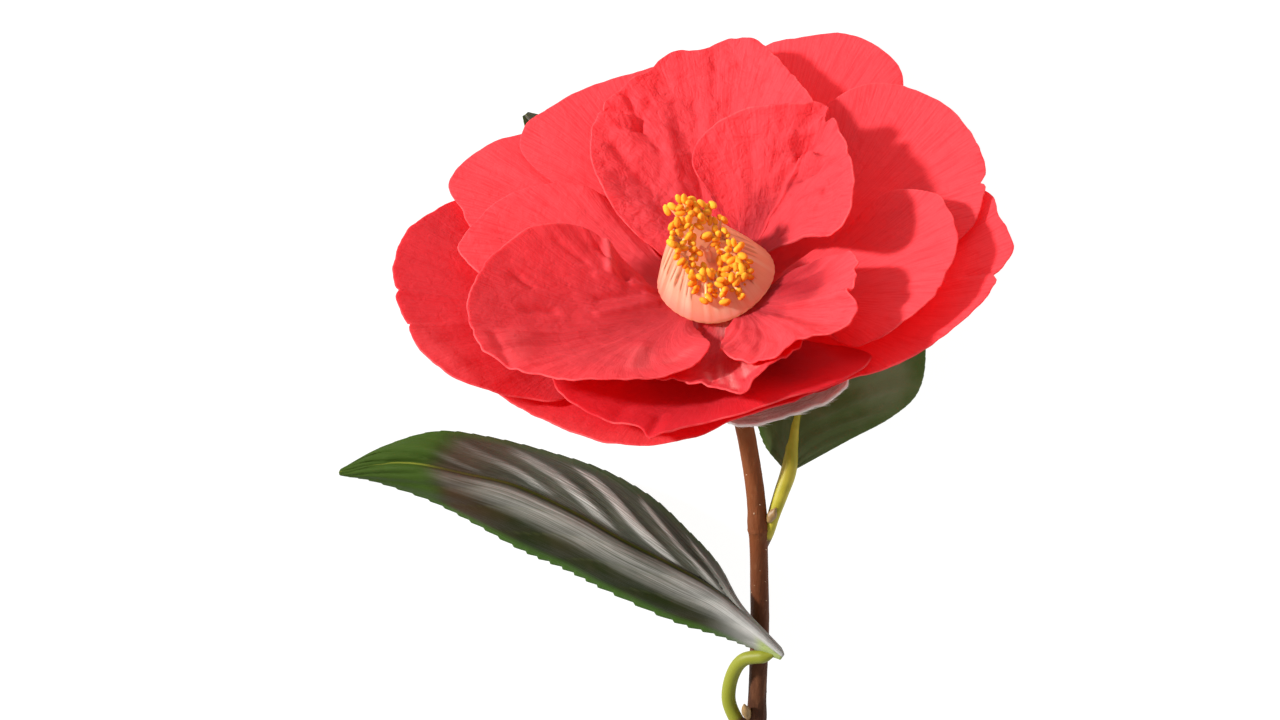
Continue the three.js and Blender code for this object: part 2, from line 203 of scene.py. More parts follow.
# The walls are bright, and the ceiling over the spray is half as bright.
room = bpy.data.worlds.new("studio_room")
walls = Nodes(room)
upward = walls.parts(walls.node("TexCoord", {}, {}, "Generated"))[2]
brightness = walls.node("ValToRGB", {"stops": [(0.56, (1, 1, 1)), (0.75, (0.5, 0.5, 0.5))]},
                        {"Fac": walls.node("MapRange", {}, {"Value": upward, "From Min": -1})})
walls.tree.links.new(brightness.socket, walls.tree.nodes["Background"].inputs["Color"])
bpy.context.scene.world = room

table_finish = Finish("table_white", Base_Color=(0.12, 0.12, 0.119, 1), Roughness=0.9,
                      Emission_Color=(1, 1, 0.995, 1), Emission_Strength=0.95)
bpy.ops.mesh.primitive_plane_add(size=TABLE_SIDE, location=(0, 0, 0))
table = bpy.context.object
table.name = "table"
table.data.materials.append(table_finish.material)

# ------------------------------------------------------------------ petals
# Fifteen crimson petals stand on a ring round the receptacle, six loose inner ones over a wheel of
# wide outer ones. Each is a thin sheet, creased and ruffled, with fine veins that fan out from its claw.

CRIMSON = (0.93, 0.108, 0.128)
VEIN_CRIMSON = (0.82, 0.066, 0.084)
BLUSH = (0.95, 0.125, 0.142)
WRINKLE_SHADE_CRIMSON = (0.80, 0.056, 0.072)
DEEP_SHADED_CRIMSON = (0.44, 0.015, 0.028)
PAINTED_SHADE_CRIMSON = (0.27, 0.004, 0.010)
STREAK_PINK = (0.97, 0.42, 0.40)
RIM_PINK = (0.97, 0.26, 0.26)
BACK_PINK = (0.93, 0.17, 0.18)
PETAL_GLOW = (0.98, 0.026, 0.044)
MM = 0.001
SPRAY_PLACE = np.array([-3.871, 10.534, -0.271])
FLOWER_CENTRE = np.array([12.3, 11, 34]) + SPRAY_PLACE
FLOWER_TILT = math.radians(50)
FLOWER_LEAN = math.radians(13)
FLOWER_RIGHT = np.array([math.cos(FLOWER_LEAN), math.sin(FLOWER_LEAN), 0])
FLOWER_AXIS = np.array([-math.sin(FLOWER_TILT) * math.sin(FLOWER_LEAN),
                        math.sin(FLOWER_TILT) * math.cos(FLOWER_LEAN), math.cos(FLOWER_TILT)])
FLOWER_UP = np.cross(FLOWER_AXIS, FLOWER_RIGHT)
CLAW_RADIUS = 5.2
CLAW_HALF_SPAN = 14
PETAL_THICKNESS = 0.34
EDGE_ROUND = 0.22


def in_flower(x, y, height):
    """Millimetres in the flower's own frame, as points of the spray."""
    return (FLOWER_CENTRE + x[..., None] * FLOWER_RIGHT + y[..., None] * FLOWER_UP
            + height[..., None] * FLOWER_AXIS)


def smooth_curve(points, at):
    """Points at shares at, 0 to 1, of the Catmull-Rom curve through points."""
    p = np.array(points, float)
    p = np.vstack([2 * p[0] - p[1], p, 2 * p[-1] - p[-2]])
    x = np.clip(at, 0, 1) * (len(points) - 1)
    i = np.minimum(x.astype(int), len(points) - 2)
    w = (x - i)[..., None]
    a, b, c, d = p[i], p[i + 1], p[i + 2], p[i + 3]
    return 0.5 * (2 * b + (c - a) * w + (2 * a - 5 * b + 4 * c - d) * w**2
                  + (3 * b - 3 * c + d - a) * w**3)


def eased(x, low, high):
    """0 below low, 1 above high, smooth between."""
    x = np.clip((x - low) / (high - low), 0, 1)
    return x * x * (3 - 2 * x)


def soft_noise(x, y, z, seed):
    """Perlin noise at arrays of places, about -1 to 1."""
    x, y, z = np.broadcast_arrays(x, y, z)
    flat = [noise.noise(Vector((a, b, c + 17.3 * seed))) for a, b, c in
            zip(x.ravel(), y.ravel(), z.ravel())]
    return np.array(flat).reshape(x.shape)


def spaced(length, step):
    """Distances from 0 to length, step apart, with a few more close to each end."""
    inside = np.linspace(0, length, max(3, round(length / step) + 1))
    close = np.array([0.05, 0.13, 0.25])
    return np.unique(np.concatenate([inside, close, length - close]))


def run_along(points):
    """How far along a line each of its points is."""
    return np.concatenate([[0], np.cumsum(np.linalg.norm(np.diff(points, axis=0), axis=1))])


def unit(vectors):
    """The same directions, each of length 1."""
    return vectors / (np.linalg.norm(vectors, axis=-1, keepdims=True) + 1e-12)


def toward(degrees):
    """A flat direction."""
    return np.array([math.cos(math.radians(degrees)), math.sin(math.radians(degrees))])


def finished(name, points, faces, finish, node=None, marks=None, traits=None, backs=0):
    """Makes a piece of points in mm and faces, with its finish, and joins it to the frame. marks is its
    own map, traits are numbers for its finish to read, and its last faces, backs of them, face back."""
    mesh = bpy.data.meshes.new(name)
    mesh.from_pydata((np.asarray(points) * MM).tolist(), [], faces)
    if marks is not None:
        layer = mesh.uv_layers.new(name="grain")
        corners = np.zeros(len(mesh.loops), np.int32)
        mesh.loops.foreach_get("vertex_index", corners)
        layer.data.foreach_set("uv", np.asarray(marks, np.float32)[corners].ravel())
    for trait, values in (traits or {}).items():
        layer = mesh.attributes.new(trait, "FLOAT", "POINT")
        layer.data.foreach_set("value", np.asarray(values, np.float32).ravel())
    if backs:
        layer = mesh.attributes.new("back", "FLOAT", "FACE")
        layer.data.foreach_set("value", (np.arange(len(faces)) >= len(faces) - backs).astype(np.float32))
    return joined(name, mesh, finish, node)


def joined(name, mesh, finish, node=None):
    """Joins a finished mesh to the frame, in the place of a node or beside it."""
    mesh.shade_smooth()
    piece = bpy.data.objects.new(name, mesh)
    bpy.context.scene.collection.objects.link(piece)
    if not mesh.materials:
        mesh.materials.append(finish.material)
    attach(piece, "root")
    if node:
        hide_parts(node)
    return piece


def shell(middle, upper, lower):
    """Points and faces of a closed thin sheet round the grid middle, with its half thickness above and
    below, and what picks its points from the grid's. The faces below come last and share the border."""
    normal = unit(np.cross(np.gradient(middle, axis=0), np.gradient(middle, axis=1)))
    rows, columns = middle.shape[:2]
    inner = np.zeros((rows, columns), bool)
    inner[1:-1, 1:-1] = True
    above_index = np.arange(rows * columns).reshape(rows, columns)
    below_index = above_index.copy()
    below_index[inner] = rows * columns + np.arange(inner.sum())
    above = middle + normal * np.where(inner, upper, 0)[..., None]
    below = middle - normal * np.where(inner, lower, 0)[..., None]
    faces = []
    for index, order in ((above_index, "abcd"), (below_index, "adcb")):
        corner = {"a": index[:-1, :-1], "b": index[1:, :-1], "c": index[1:, 1:], "d": index[:-1, 1:]}
        faces += np.stack([corner[letter] for letter in order], -1).reshape(-1, 4).tolist()

    def both(values):
        return np.concatenate([values.reshape(-1, *values.shape[2:]), values[inner]])

    return np.concatenate([above.reshape(-1, 3), below[inner]]), faces, both


def rounded(distance, half):
    """Half thickness at a distance from a rounded edge."""
    share = np.clip(distance / EDGE_ROUND, 0, 1)
    return half * np.sqrt(np.clip(1 - (1 - share) ** 2, 0, 1))


def fan_grid(seat, root, bend, rim, belly=0, nicks=(), seed=0, fray=1, step_along=0.9, step_across=0.75):
    """The middle sheet of a petal or sepal: x, y and height of its points, and at each one its angle,
    its share t of the length, its way along the rim, and its distance from the nearest border."""
    turned = [((direction - root + 180) % 360 - 180, reach, height) for direction, reach, height in rim]
    fine = np.linspace(0, 1, 600)
    edge = smooth_curve(turned, fine)
    flat = np.stack([edge[:, 1] * np.cos(np.radians(edge[:, 0])),
                     edge[:, 1] * np.sin(np.radians(edge[:, 0])), edge[:, 2]], -1)
    run = run_along(flat)
    way = spaced(run[-1], step_across)
    a = np.interp(way, run, fine)
    edge = smooth_curve(turned, a)
    for direction, half_width, depth in nicks:
        off = (edge[:, 0] + root - direction + 180) % 360 - 180
        edge[:, 1] -= depth * np.exp(-((off / half_width) ** 2))
    frayed = (0.3 * soft_noise(way / 3.4, 0.5, 0.5, seed=200 + seed)
              + 0.14 * soft_noise(way / 1.3, 0.5, 0.5, seed=230 + seed))
    edge[:, 1] += fray * frayed * eased(np.minimum(way, run[-1] - way), 3, 12)
    side = 1 if turned[0][0] < 0 else -1
    longest = edge[:, 1].max() - CLAW_RADIUS
    t = (spaced(longest, step_along) / longest)[:, None]
    start = side * (2 * a - 1) * CLAW_HALF_SPAN
    angle = np.radians(root + start + (edge[:, 0] - start) * t)
    reach = CLAW_RADIUS + (edge[:, 1] - CLAW_RADIUS) * t
    height = seat + (edge[:, 2] - seat) * t**bend + 4 * belly * t * t * (1 - t)
    own = edge[:, 1] - CLAW_RADIUS
    sides = np.minimum(way, run[-1] - way) * (0.12 + 0.88 * t)
    sheet = {
        "x": reach * np.cos(angle), "y": reach * np.sin(angle), "height": height,
        "angle": np.degrees(angle), "t": t * np.ones_like(reach), "way": way * np.ones_like(reach),
        "border": np.minimum(np.minimum(t * own, (1 - t) * own), sides),
    }
    return {key: values[:, ::side] for key, values in sheet.items()}


def near_line(sheet, direction, reach, to_direction, to_reach, width):
    """1 on a line between two places of a sheet, and nothing a few widths away from it."""
    start, end = reach * toward(direction), to_reach * toward(to_direction)
    along = end - start
    x, y = sheet["x"] - start[0], sheet["y"] - start[1]
    share = np.clip((x * along[0] + y * along[1]) / (along @ along), 0, 1)
    gap = np.hypot(x - share * along[0], y - share * along[1])
    return np.exp(-((gap / width) ** 2))


def marked(sheet, lines, ground=0):
    """The strongest mark at each point of a sheet, over a ground, from lines that end in a strength."""
    mark = ground + np.zeros_like(sheet["t"])
    for *line, strength in lines:
        mark = np.maximum(mark, strength * near_line(sheet, *line))
    return mark


# Each petal, in millimetres and degrees: seat is its claw's height, root its direction, bend how late it
# turns up, belly how far it bulges on the way, and rim its edge as [direction, reach, height]. ruffle and
# pleat are its pleats' height and width, crumple the height of its fine wrinkles, and fray how uneven its
# rim is. nicks are [direction, half width, depth]. A line [direction, reach, direction, reach, width, x]
# is a fold that rises x, a paler streak, or a painted shade of strength x, where a cast shadow or the
# shade in a crease is painted darker into the colour. deep is how much deeper crimson covers the whole,
# partly the petal's own colour and partly painted shade on the petals that sit in shade.
# Past the direction smooth_side it hardly crumples, and past plain_side its rim isn't pale.
PLAIN_PETAL = dict(belly=0, ruffle=0.3, pleat=8, crumple=0.12, fray=1, deep=0, nicks=[], folds=[],
                   streaks=[], shades=[])
PETALS = {
    "petal_01": dict(seat=0.8, root=42, bend=1.45, ruffle=0.5, crumple=0.5, smooth_side=42, deep=0.14,
                     fray=1.6,
        rim=[[67, 12, 3], [77, 15, 6.8], [86, 18, 11], [86, 21, 12.5], [80, 24, 14], [69, 26, 16],
             [55, 28, 17], [46, 30, 17], [40, 32, 16.5], [33, 30, 16], [18, 27, 16], [358, 25, 16],
             [340, 24, 16], [334, 22, 14.2], [346, 18.4, 10.4], [358, 16.6, 8], [13, 15.6, 6.2],
             [28, 13.6, 4.4], [36, 11.4, 2.6]],
        nicks=[[36.8, 1.1, 1.7]],
        folds=[[36.5, 30.5, 40, 24, 0.7, -1.0], [46.4, 24.9, 38.9, 29.1, 0.9, 0.8],
               [38.9, 29.1, 37.5, 31, 0.8, 0.7], [47, 19.8, 42, 23, 0.8, 0.7],
               [42, 23, 32.6, 23.7, 0.8, 0.9], [32.6, 23.7, 25.4, 23.1, 0.7, 0.7],
               [33, 21.6, 25.5, 23, 0.8, -1.3], [35, 23.4, 27, 24, 0.8, 0.9],
               [42, 26, 30.3, 28.5, 0.9, -0.7], [22.4, 17, 12.4, 20, 0.8, 0.7],
               [7.6, 16.8, 358.7, 21.4, 0.7, -0.6], [2, 22.5, 8, 24.5, 0.7, 0.5],
               [10, 17, 18, 23, 3.2, 1.1], [50, 11, 47, 18, 2.0, -1.3], [40, 15, 40, 21, 0.8, 0.5],
               [60, 22, 50, 16, 1.2, -0.3]],
        # Painted shade on A: its claw hollow beside the column, where the column's shadow falls, and the
        # troughs under its right lobe's ridges.
        shades=[[52, 10, 48, 16, 2.4, 0.5], [20, 10, 13, 15, 2.0, 0.3], [39, 19.8, 32.9, 21.1, 0.8, 0.6],
                [32.9, 21.1, 26, 22.9, 1.0, 0.6], [22.5, 18.4, 11, 20.6, 0.9, 0.4],
                [30, 10, 24, 13.5, 1.2, 0.4]]),
    "petal_02": dict(seat=0, root=82, bend=1.3, belly=0.4, ruffle=0.9, crumple=0.42, deep=0.08, fray=1.6,
        rim=[[126, 11.5, 1.9], [130, 16, 4.9], [128, 21.5, 8.8], [123, 27, 11], [116, 33, 12.5],
             [108, 38, 13.5], [99, 42, 14], [93, 44, 14], [88, 47, 14], [83, 47, 14], [79, 48, 14],
             [74, 49, 14], [67, 46, 14], [59, 40, 14], [48, 34, 13.5], [38, 27, 10], [44, 17, 4]],
        folds=[[108, 39, 102, 37, 0.6, -1.2], [108, 37, 101, 35, 0.8, 0.6],
               [99.5, 40, 99.7, 34, 0.8, -0.7], [100, 34, 97, 29, 0.8, -0.6],
               [95, 38, 102, 33, 0.7, -0.5], [104, 33, 97, 31, 0.8, 0.5], [96, 19, 93, 32, 1.2, 0.6],
               [107, 22, 110, 31, 1.2, -0.6], [86, 20, 84, 37, 1.4, -0.5], [71, 22, 66, 38, 1.3, -0.5],
               [78, 25, 76, 44, 1.3, 0.4], [60, 24, 55, 35, 1.2, 0.4]]),
    "petal_03": dict(seat=-1, root=150, bend=1.2, belly=1.2, crumple=0.14,
        rim=[[173, 11, 1.5], [180, 23, 6], [177, 33, 9], [169, 38, 10.5], [162, 41, 11], [153, 40, 11],
             [144, 38, 11], [135, 34, 11], [126, 28, 9], [122, 20, 4], [130, 11, 1]]),
    "petal_04": dict(seat=0.2, root=208, bend=1.5, ruffle=0.4, crumple=0.13, deep=0.19, fray=2,
        rim=[[252, 13, 2.4], [262, 23, 9], [259, 31, 12], [253, 35, 13.5], [244, 38, 15], [231, 41, 16],
             [219, 43, 16], [209, 43, 16], [197, 41, 16], [187, 38, 16], [175, 33, 16], [162, 26, 15.5],
             [154, 19, 11], [162, 12, 4]],
        folds=[[203, 39, 217, 43, 0.8, -0.4], [204, 36, 217, 40, 1.5, 0.25],
               [155, 16.6, 171, 15.8, 0.7, 1.2], [163, 16.8, 170, 15.9, 1.1, 0.5],
               [186, 12, 206, 40, 2.6, 0.5], [198, 24, 205, 30, 3, -0.4], [160, 18, 173, 14, 0.7, -0.8],
               [192.6, 31, 193, 27, 0.9, -0.6], [181, 31, 184, 29, 0.7, -0.5],
               [187, 19, 183, 12, 0.6, -0.5], [180, 14, 178, 9, 0.6, -0.4], [176, 18, 177, 11, 0.6, 0.4],
               [196, 20, 190, 10, 0.6, 0.35], [166, 24, 170, 20, 0.8, -0.5], [228, 20, 238, 30, 1.2, 0.4]],
        streaks=[[156, 16.6, 171, 15.8, 0.7, 0.16], [217, 38, 230, 24, 4.5, 0.02],
                 [232, 23, 240, 30, 2.2, 0.12], [249, 27, 254, 24, 1.6, 0.14],
                 [205, 36, 214, 40, 2.4, 0.08]]),
    "petal_05": dict(seat=0.4, root=306, bend=1.5, ruffle=0.85, crumple=0.2, deep=0.04, fray=4, pleat=5.5,
        rim=[[346, 11, 1.8], [340, 17, 6], [327, 26, 13], [316, 30, 14.5], [308, 32, 15], [305, 35, 14.5],
             [298, 37, 14], [291, 36, 14], [283, 35, 14], [277, 35, 13], [270, 29, 10], [265, 22, 6.5],
             [269, 13, 2.2]],
        folds=[[309, 33, 311, 26, 0.7, -0.7], [300, 15, 296, 28, 1.1, 0.5],
               [288, 16, 286, 30, 1.0, -0.25], [320, 14, 322, 26, 1.1, 0.4], [276, 14, 276, 26, 0.9, 0.2]],
        nicks=[[308, 1.2, 1.2], [290, 1.4, 0.6]],
        # Painted shade on E: the column's shadow across its upper left part.
        shades=[[338, 9, 318, 20, 4.2, 0.92], [300, 8, 308, 15, 3.5, 0.6], [345, 8, 335, 17, 3.5, 0.85]]),
    "petal_06": dict(seat=-0.8, root=270, bend=1.5, ruffle=0.5, crumple=0.3, deep=0.4, fray=3, pleat=5.5,
        rim=[[235, 11, 0.2], [233, 20, 2.6], [243, 30, 8.2], [253, 34, 11], [262, 37, 12],
             [269, 40, 12.5], [273, 38, 13], [279, 36, 12.5], [286, 32, 10], [298, 24, 4.5],
             [298, 13, 0.8]],
        folds=[[268, 16, 270, 37, 1.0, 0.7], [262, 20, 262, 36, 0.9, -0.5], [275, 20, 277, 34, 0.9, -0.4]],
        streaks=[[268, 15, 272, 34, 0.8, 0.55], [264, 24, 265, 35, 0.5, 0.35],
                 [271, 26, 275, 34, 0.6, 0.5], [267, 30, 268, 38, 0.6, 0.6], [260, 28, 262, 33, 0.5, 0.4],
                 [276, 24, 279, 31, 0.5, 0.4], [270, 7, 270, 11, 1.4, 0.8]]),
    "petal_07": dict(seat=-1.4, root=334, bend=1.2, ruffle=0.25,
        rim=[[315, 10, -0.5], [305, 30, 4], [307, 36, 7], [313, 39, 9], [321, 41, 10], [331, 41, 10.5],
             [340, 41, 10.5], [352, 39, 10.5], [0, 37, 10], [7, 31, 9], [6, 24, 6], [0, 12, 1.5]],
        nicks=[[324, 0.9, 0.5]]),
    "petal_08": dict(seat=-2.2, root=18, bend=1.1,
        rim=[[355, 12, -1], [344, 27, 3], [348, 40, 6], [359, 45, 7.5], [6, 47, 8], [20, 49, 8.5],
             [31, 49, 9.5], [41, 47, 10], [47, 42, 10], [53, 33, 7], [54, 17, 0.5], [44, 10, -1]],
        folds=[[3.5, 47, 5, 40, 0.8, -0.5]],
        nicks=[[3.4, 1.1, 1.1]]),
    "petal_09": dict(seat=-3.4, root=55, bend=1, belly=1,
        rim=[[36, 13, -2], [31, 38, 2.5], [40, 50, 6.5], [43, 53, 8], [50, 56, 9], [57, 57, 9.5],
             [64, 55, 9.5], [70, 54, 8.5], [78, 48, 6], [80, 28, 0.5], [74, 12, -2]]),
    "petal_10": dict(seat=-4.2, root=328, bend=1.05,
        rim=[[300, 10, -3.5], [288, 29, -0.5], [299, 35, 2], [306, 40, 4], [317, 44, 5.5], [329, 47, 6.5],
             [337, 48, 6.5], [344, 49, 6.5], [353, 47, 6.5], [3, 46, 6], [14, 40, 4.5], [10, 15, -2]],
        folds=[[336, 48, 338, 42, 0.7, -0.5]],
        nicks=[[336, 1.0, 1.2]]),
    "petal_11": dict(seat=-2, root=102, bend=1.05, belly=0.8, plain_side=116,
        rim=[[83, 14, -0.6], [76, 40, 6.5], [77, 50, 9], [82, 52, 10], [93, 49, 10.5], [105, 49, 11],
             [115, 48, 11], [122, 47, 10.5], [127, 41, 8.5], [127, 20, 2]]),
    "petal_12": dict(seat=-3.3, root=128, bend=1.05, belly=1.2,
        rim=[[108, 15, -1], [102, 40, 5.5], [104, 45, 7], [112, 47, 8], [120, 48, 9], [127, 50, 9.5],
             [135, 51, 9.5], [141, 50, 9.5], [145, 46, 8.5], [152, 38, 6.5], [148, 15, -0.8]]),
    "petal_13": dict(seat=-3.8, root=178, bend=1.4, ruffle=0.35, deep=0.5,
        rim=[[146, 15, -1.8], [138, 42, 4.5], [142, 48.5, 7], [152, 50, 10], [160, 50.5, 12],
             [173, 50.5, 13.5], [186, 49.7, 13.5], [195, 49.6, 12.5], [203, 48, 11.5], [209, 45, 9.5],
             [214, 40.5, 6.5], [219, 34, 3.6], [206, 12, -2]],
        folds=[[187.2, 50, 186.4, 44, 0.7, -0.5], [192, 47, 205, 45, 2.0, 0.5]],
        nicks=[[177.7, 0.8, 0.6], [188, 0.8, 0.6]],
        streaks=[[205, 45, 190, 49, 3.5, 0.07]]),
    "petal_14": dict(seat=-4.6, root=238, bend=1.1, ruffle=0.4, deep=0.72,
        rim=[[200, 10, -4], [190, 32, 1], [200, 41, 4], [214, 41, 4.5], [224, 41, 4.5], [235, 42, 5],
             [246, 42, 5], [258, 40, 5], [269, 37, 5], [283, 36, 4], [290, 31, 2], [270, 9, -4]],
        streaks=[[212, 42, 235, 42, 3.0, 0.1], [235, 42, 258, 40, 3.5, 0.1]]),
    "petal_15": dict(seat=-1.9, root=262, bend=1.2, ruffle=0.35, deep=0.82,
        rim=[[225, 11, -0.5], [211, 29, 5], [220, 37, 8.5], [237, 41, 9], [246, 42, 9], [250, 45, 9.5],
             [258, 42, 9], [268, 41, 9], [281, 40, 8.5], [291, 39, 7], [307, 34, 3.5], [300, 12, -1]],
        folds=[[249.3, 46, 249, 38, 0.7, -0.45], [252, 45, 252, 38, 1.2, 0.25],
               [238, 30, 240, 41, 1.5, -0.4]]),
}

petal_finish = Finish("petal_crimson", Roughness=0.7, Specular_IOR_Level=0.14)
across, along = petal_finish.own_map()
veins = petal_finish.grain(petal_finish.vector(across * 22, along * 1.6), detail=3, roughness=0.6,
                           distortion=0.4)
fibres = petal_finish.grain(petal_finish.vector(across * 60, along * 4))
mottle = petal_finish.grain(petal_finish.place(), scale=170, detail=3, roughness=0.55)
pucker = petal_finish.grain(petal_finish.place(), scale=430, detail=4, roughness=0.6, distortion=0.5)
petal_finish.ground(veins.ease(0.40, 0.72), CRIMSON, VEIN_CRIMSON)
petal_finish.cover(mottle.ease(0.35, 0.75) * 0.35, BLUSH)
# Painted shade: a darker crimson where the fine wrinkle noise is high.
petal_finish.cover(pucker.ease(0.55, 0.85) * 0.2, WRINKLE_SHADE_CRIMSON)
# Painted shade, in part: the deeper crimson of the whole petal is partly its own colour and partly the
# shade it sits in.
petal_finish.cover(petal_finish.trait("deep"), DEEP_SHADED_CRIMSON)
# Painted shade: cast shadows and the shade in creases are darkened into the colour, and less light is let
# through there.
petal_finish.cover(petal_finish.trait("shade"), PAINTED_SHADE_CRIMSON)
petal_finish.cover(petal_finish.trait("pale"), STREAK_PINK)
edge = 1 - petal_finish.trait("rim").ease(0.04, 0.26)
petal_finish.cover(edge * mottle.ease(0.35, 0.6) * 0.4, RIM_PINK)
petal_finish.cover(petal_finish.trait("back") * 0.35, BACK_PINK)
relief = veins * 0.35 + fibres * 0.2 + (mottle * 0.45 + pucker * 1.8) * petal_finish.trait("crumpled")
petal_finish.feed(Normal=petal_finish.bump(relief, 0.00030))
petal_finish.let_through(0.54 * (1 - 0.6 * petal_finish.trait("shade")), PETAL_GLOW)

for order, (name, petal) in enumerate(PETALS.items()):
    petal = PLAIN_PETAL | petal
    creased = petal["crumple"] > PLAIN_PETAL["crumple"]
    steps = {"step_along": 0.5, "step_across": 0.5} if creased else {}
    shape = {key: petal[key] for key in ("seat", "root", "bend", "rim", "belly", "nicks", "fray")}
    sheet = fan_grid(**shape, seed=order, **steps)
    x, y, t, angle, way, border = (sheet[key] for key in ("x", "y", "t", "angle", "way", "border"))
    pleats = soft_noise(way / petal["pleat"], t * 1.3, 0.0, seed=order)
    ruffle = petal["ruffle"] * eased(t, 0.25, 1) * pleats
    uneven = 1.1 * soft_noise(x / 5.2, y / 5.2, 0.0, seed=order + 40)
    if creased:
        uneven = uneven + 0.75 * soft_noise(x / 2.5, y / 2.5, 0.0, seed=order + 60)
        uneven = uneven + 0.5 * np.abs(soft_noise(x / 2.9, y / 2.9, 0.0, seed=order + 80))
        uneven = uneven + 0.2 * soft_noise(x / 1.1, y / 1.1, 0.0, seed=order + 100)
    rough = petal["crumple"] * eased(t, 0.15, 0.5)
    if "smooth_side" in petal:
        rough = rough * (1 - 0.75 * eased((angle - petal["smooth_side"] + 180) % 360 - 180, -8, 12))
    height = sheet["height"] + ruffle + rough * uneven
    for *line, rise in petal["folds"]:
        height = height + rise * near_line(sheet, *line)
    half = rounded(border, PETAL_THICKNESS / 2)
    points, faces, both = shell(in_flower(x, y, height), half, half)
    rim = np.minimum(border, 3)
    if "plain_side" in petal:
        rim = np.where(angle > petal["plain_side"], 3, rim)
    traits = {
        "rim": rim, "pale": marked(sheet, petal["streaks"], 0.12 * (1 - eased(t, 0.02, 0.14))),
        "deep": np.full_like(t, petal["deep"]), "shade": marked(sheet, petal["shades"]),
        "crumpled": np.full_like(t, 0.2 + 3 * petal["crumple"]),
    }
    finished(name, points, faces, petal_finish, name, both(np.stack([way / 10, t * 4], -1)),
             {trait: both(values) for trait, values in traits.items()}, len(faces) // 2)

# ------------------------------------------------------------------ sepals
# Five scales hold the petals from below. One has grown as long as a petal and cups the flower in front,
# mauve-brown and covered in silky, silvery hairs that lie towards its tip.

SILVER_DOWN = (0.95, 0.92, 0.89)
MAUVE_BROWN = (0.48, 0.35, 0.32)
SILK_GREY = (0.92, 0.89, 0.85)
SEPAL_EDGE = (0.93, 0.90, 0.86)
SEPAL_GLOW = (0.86, 0.62, 0.54)
HAIR_GREY = (0.90, 0.87, 0.82)
HAIR_WHITE = (0.99, 0.97, 0.94)
HAIR_GLOW = (1.0, 0.96, 0.91)
LONG_SEPAL = dict(seat=-5.9, root=283, bend=3, rim=[
    [265, 10, -5.8], [259, 22, -5], [265, 29.8, -2.6], [274, 34, 0.2], [284, 35.8, 1.4],
    [294, 35, 0.5], [304, 30, -2.5], [308, 21, -5], [301, 10, -5.8]])
SHORT_SEPAL_ROOTS = {"sepal_2": 352, "sepal_3": 67, "sepal_4": 139, "sepal_5": 211}
SHORT_SEPAL_RIM = [[-20, 9, -5.6], [-34, 15, -4.8], [-20, 21, -3.8], [0, 23, -3.4], [20, 21, -3.8],
                   [34, 15, -4.8], [20, 9, -5.6]]
SEPAL_THICKNESS = 0.56


class Growth:
    """A Geometry Nodes tree that grows small shapes on a base mesh, with its sizes as named inputs."""

    def __init__(self, name, **sizes):
        self.tree = bpy.data.node_groups.new(name, "GeometryNodeTree")
        face = self.tree.interface
        face.new_socket("Base", in_out="INPUT", socket_type="NodeSocketGeometry")
        face.new_socket("Grown", in_out="OUTPUT", socket_type="NodeSocketGeometry")
        self.sizes = {}
        for size, value in sizes.items():
            kind = "NodeSocketInt" if isinstance(value, int) else "NodeSocketFloat"
            self.sizes[face.new_socket(size, in_out="INPUT", socket_type=kind).identifier] = value
        self.entry = self.tree.nodes.new("NodeGroupInput")
        self.base = self.entry.outputs["Base"]

    def size(self, name):
        return self.entry.outputs[name]

    def add(self, kind, settings, sockets, out=0):
        """Adds a node: its settings first, then values or other nodes' outputs by socket."""
        made = self.tree.nodes.new(kind)
        for name, value in settings.items():
            setattr(made, name, value)
        for name, value in sockets.items():
            for one in value if isinstance(value, list) else [value]:
                if isinstance(one, bpy.types.NodeSocket):
                    self.tree.links.new(one, made.inputs[name])
                else:
                    made.inputs[name].default_value = one
        return made.outputs[out]

    def chance(self, low, high):
        """A random number or vector from low to high."""
        sockets = {"data_type": "FLOAT_VECTOR"}, {0: low, 1: high, "Seed": self.size("Seed")}
        if not isinstance(low, tuple):
            sockets = {"data_type": "FLOAT"}, {2: low, 3: high, "Seed": self.size("Seed")}, 1
        return self.add("FunctionNodeRandomValue", *sockets)

    def scattered(self):
        """Random spots on the base, so many to the square metre."""
        return self.add("GeometryNodeDistributePointsOnFaces", {"distribute_method": "RANDOM"}, {
            "Mesh": self.base, "Density": self.size("Density"), "Seed": self.size("Seed")})

    def grow(self, name, mesh, shapes, finish, slot):
        """Joins what grows on the mesh to the frame, as a plain mesh in the finish."""
        real = self.add("GeometryNodeRealizeInstances", {}, {"Geometry": shapes})
        painted = self.add("GeometryNodeSetMaterial", {}, {"Geometry": real, "Material": finish.material})
        self.tree.links.new(painted, self.tree.nodes.new("NodeGroupOutput").inputs["Grown"])
        base = bpy.data.objects.new(name + "_base", mesh)
        bpy.context.scene.collection.objects.link(base)
        growing = base.modifiers.new("growing", "NODES")
        growing.node_group = self.tree
        for identifier, value in self.sizes.items():
            growing[identifier] = value
        ready = bpy.context.evaluated_depsgraph_get()
        grown = bpy.data.meshes.new_from_object(base.evaluated_get(ready), depsgraph=ready)
        base.modifiers.remove(growing)
        bpy.data.objects.remove(base)
        grown.name = name
        joined(name, grown, finish)


def give_vectors(mesh, name, vectors):
    """Gives a mesh a vector at each of its points, for what grows on it."""
    layer = mesh.attributes.new(name, "FLOAT_VECTOR", "POINT")
    layer.data.foreach_set("vector", vectors.astype(np.float32).ravel())


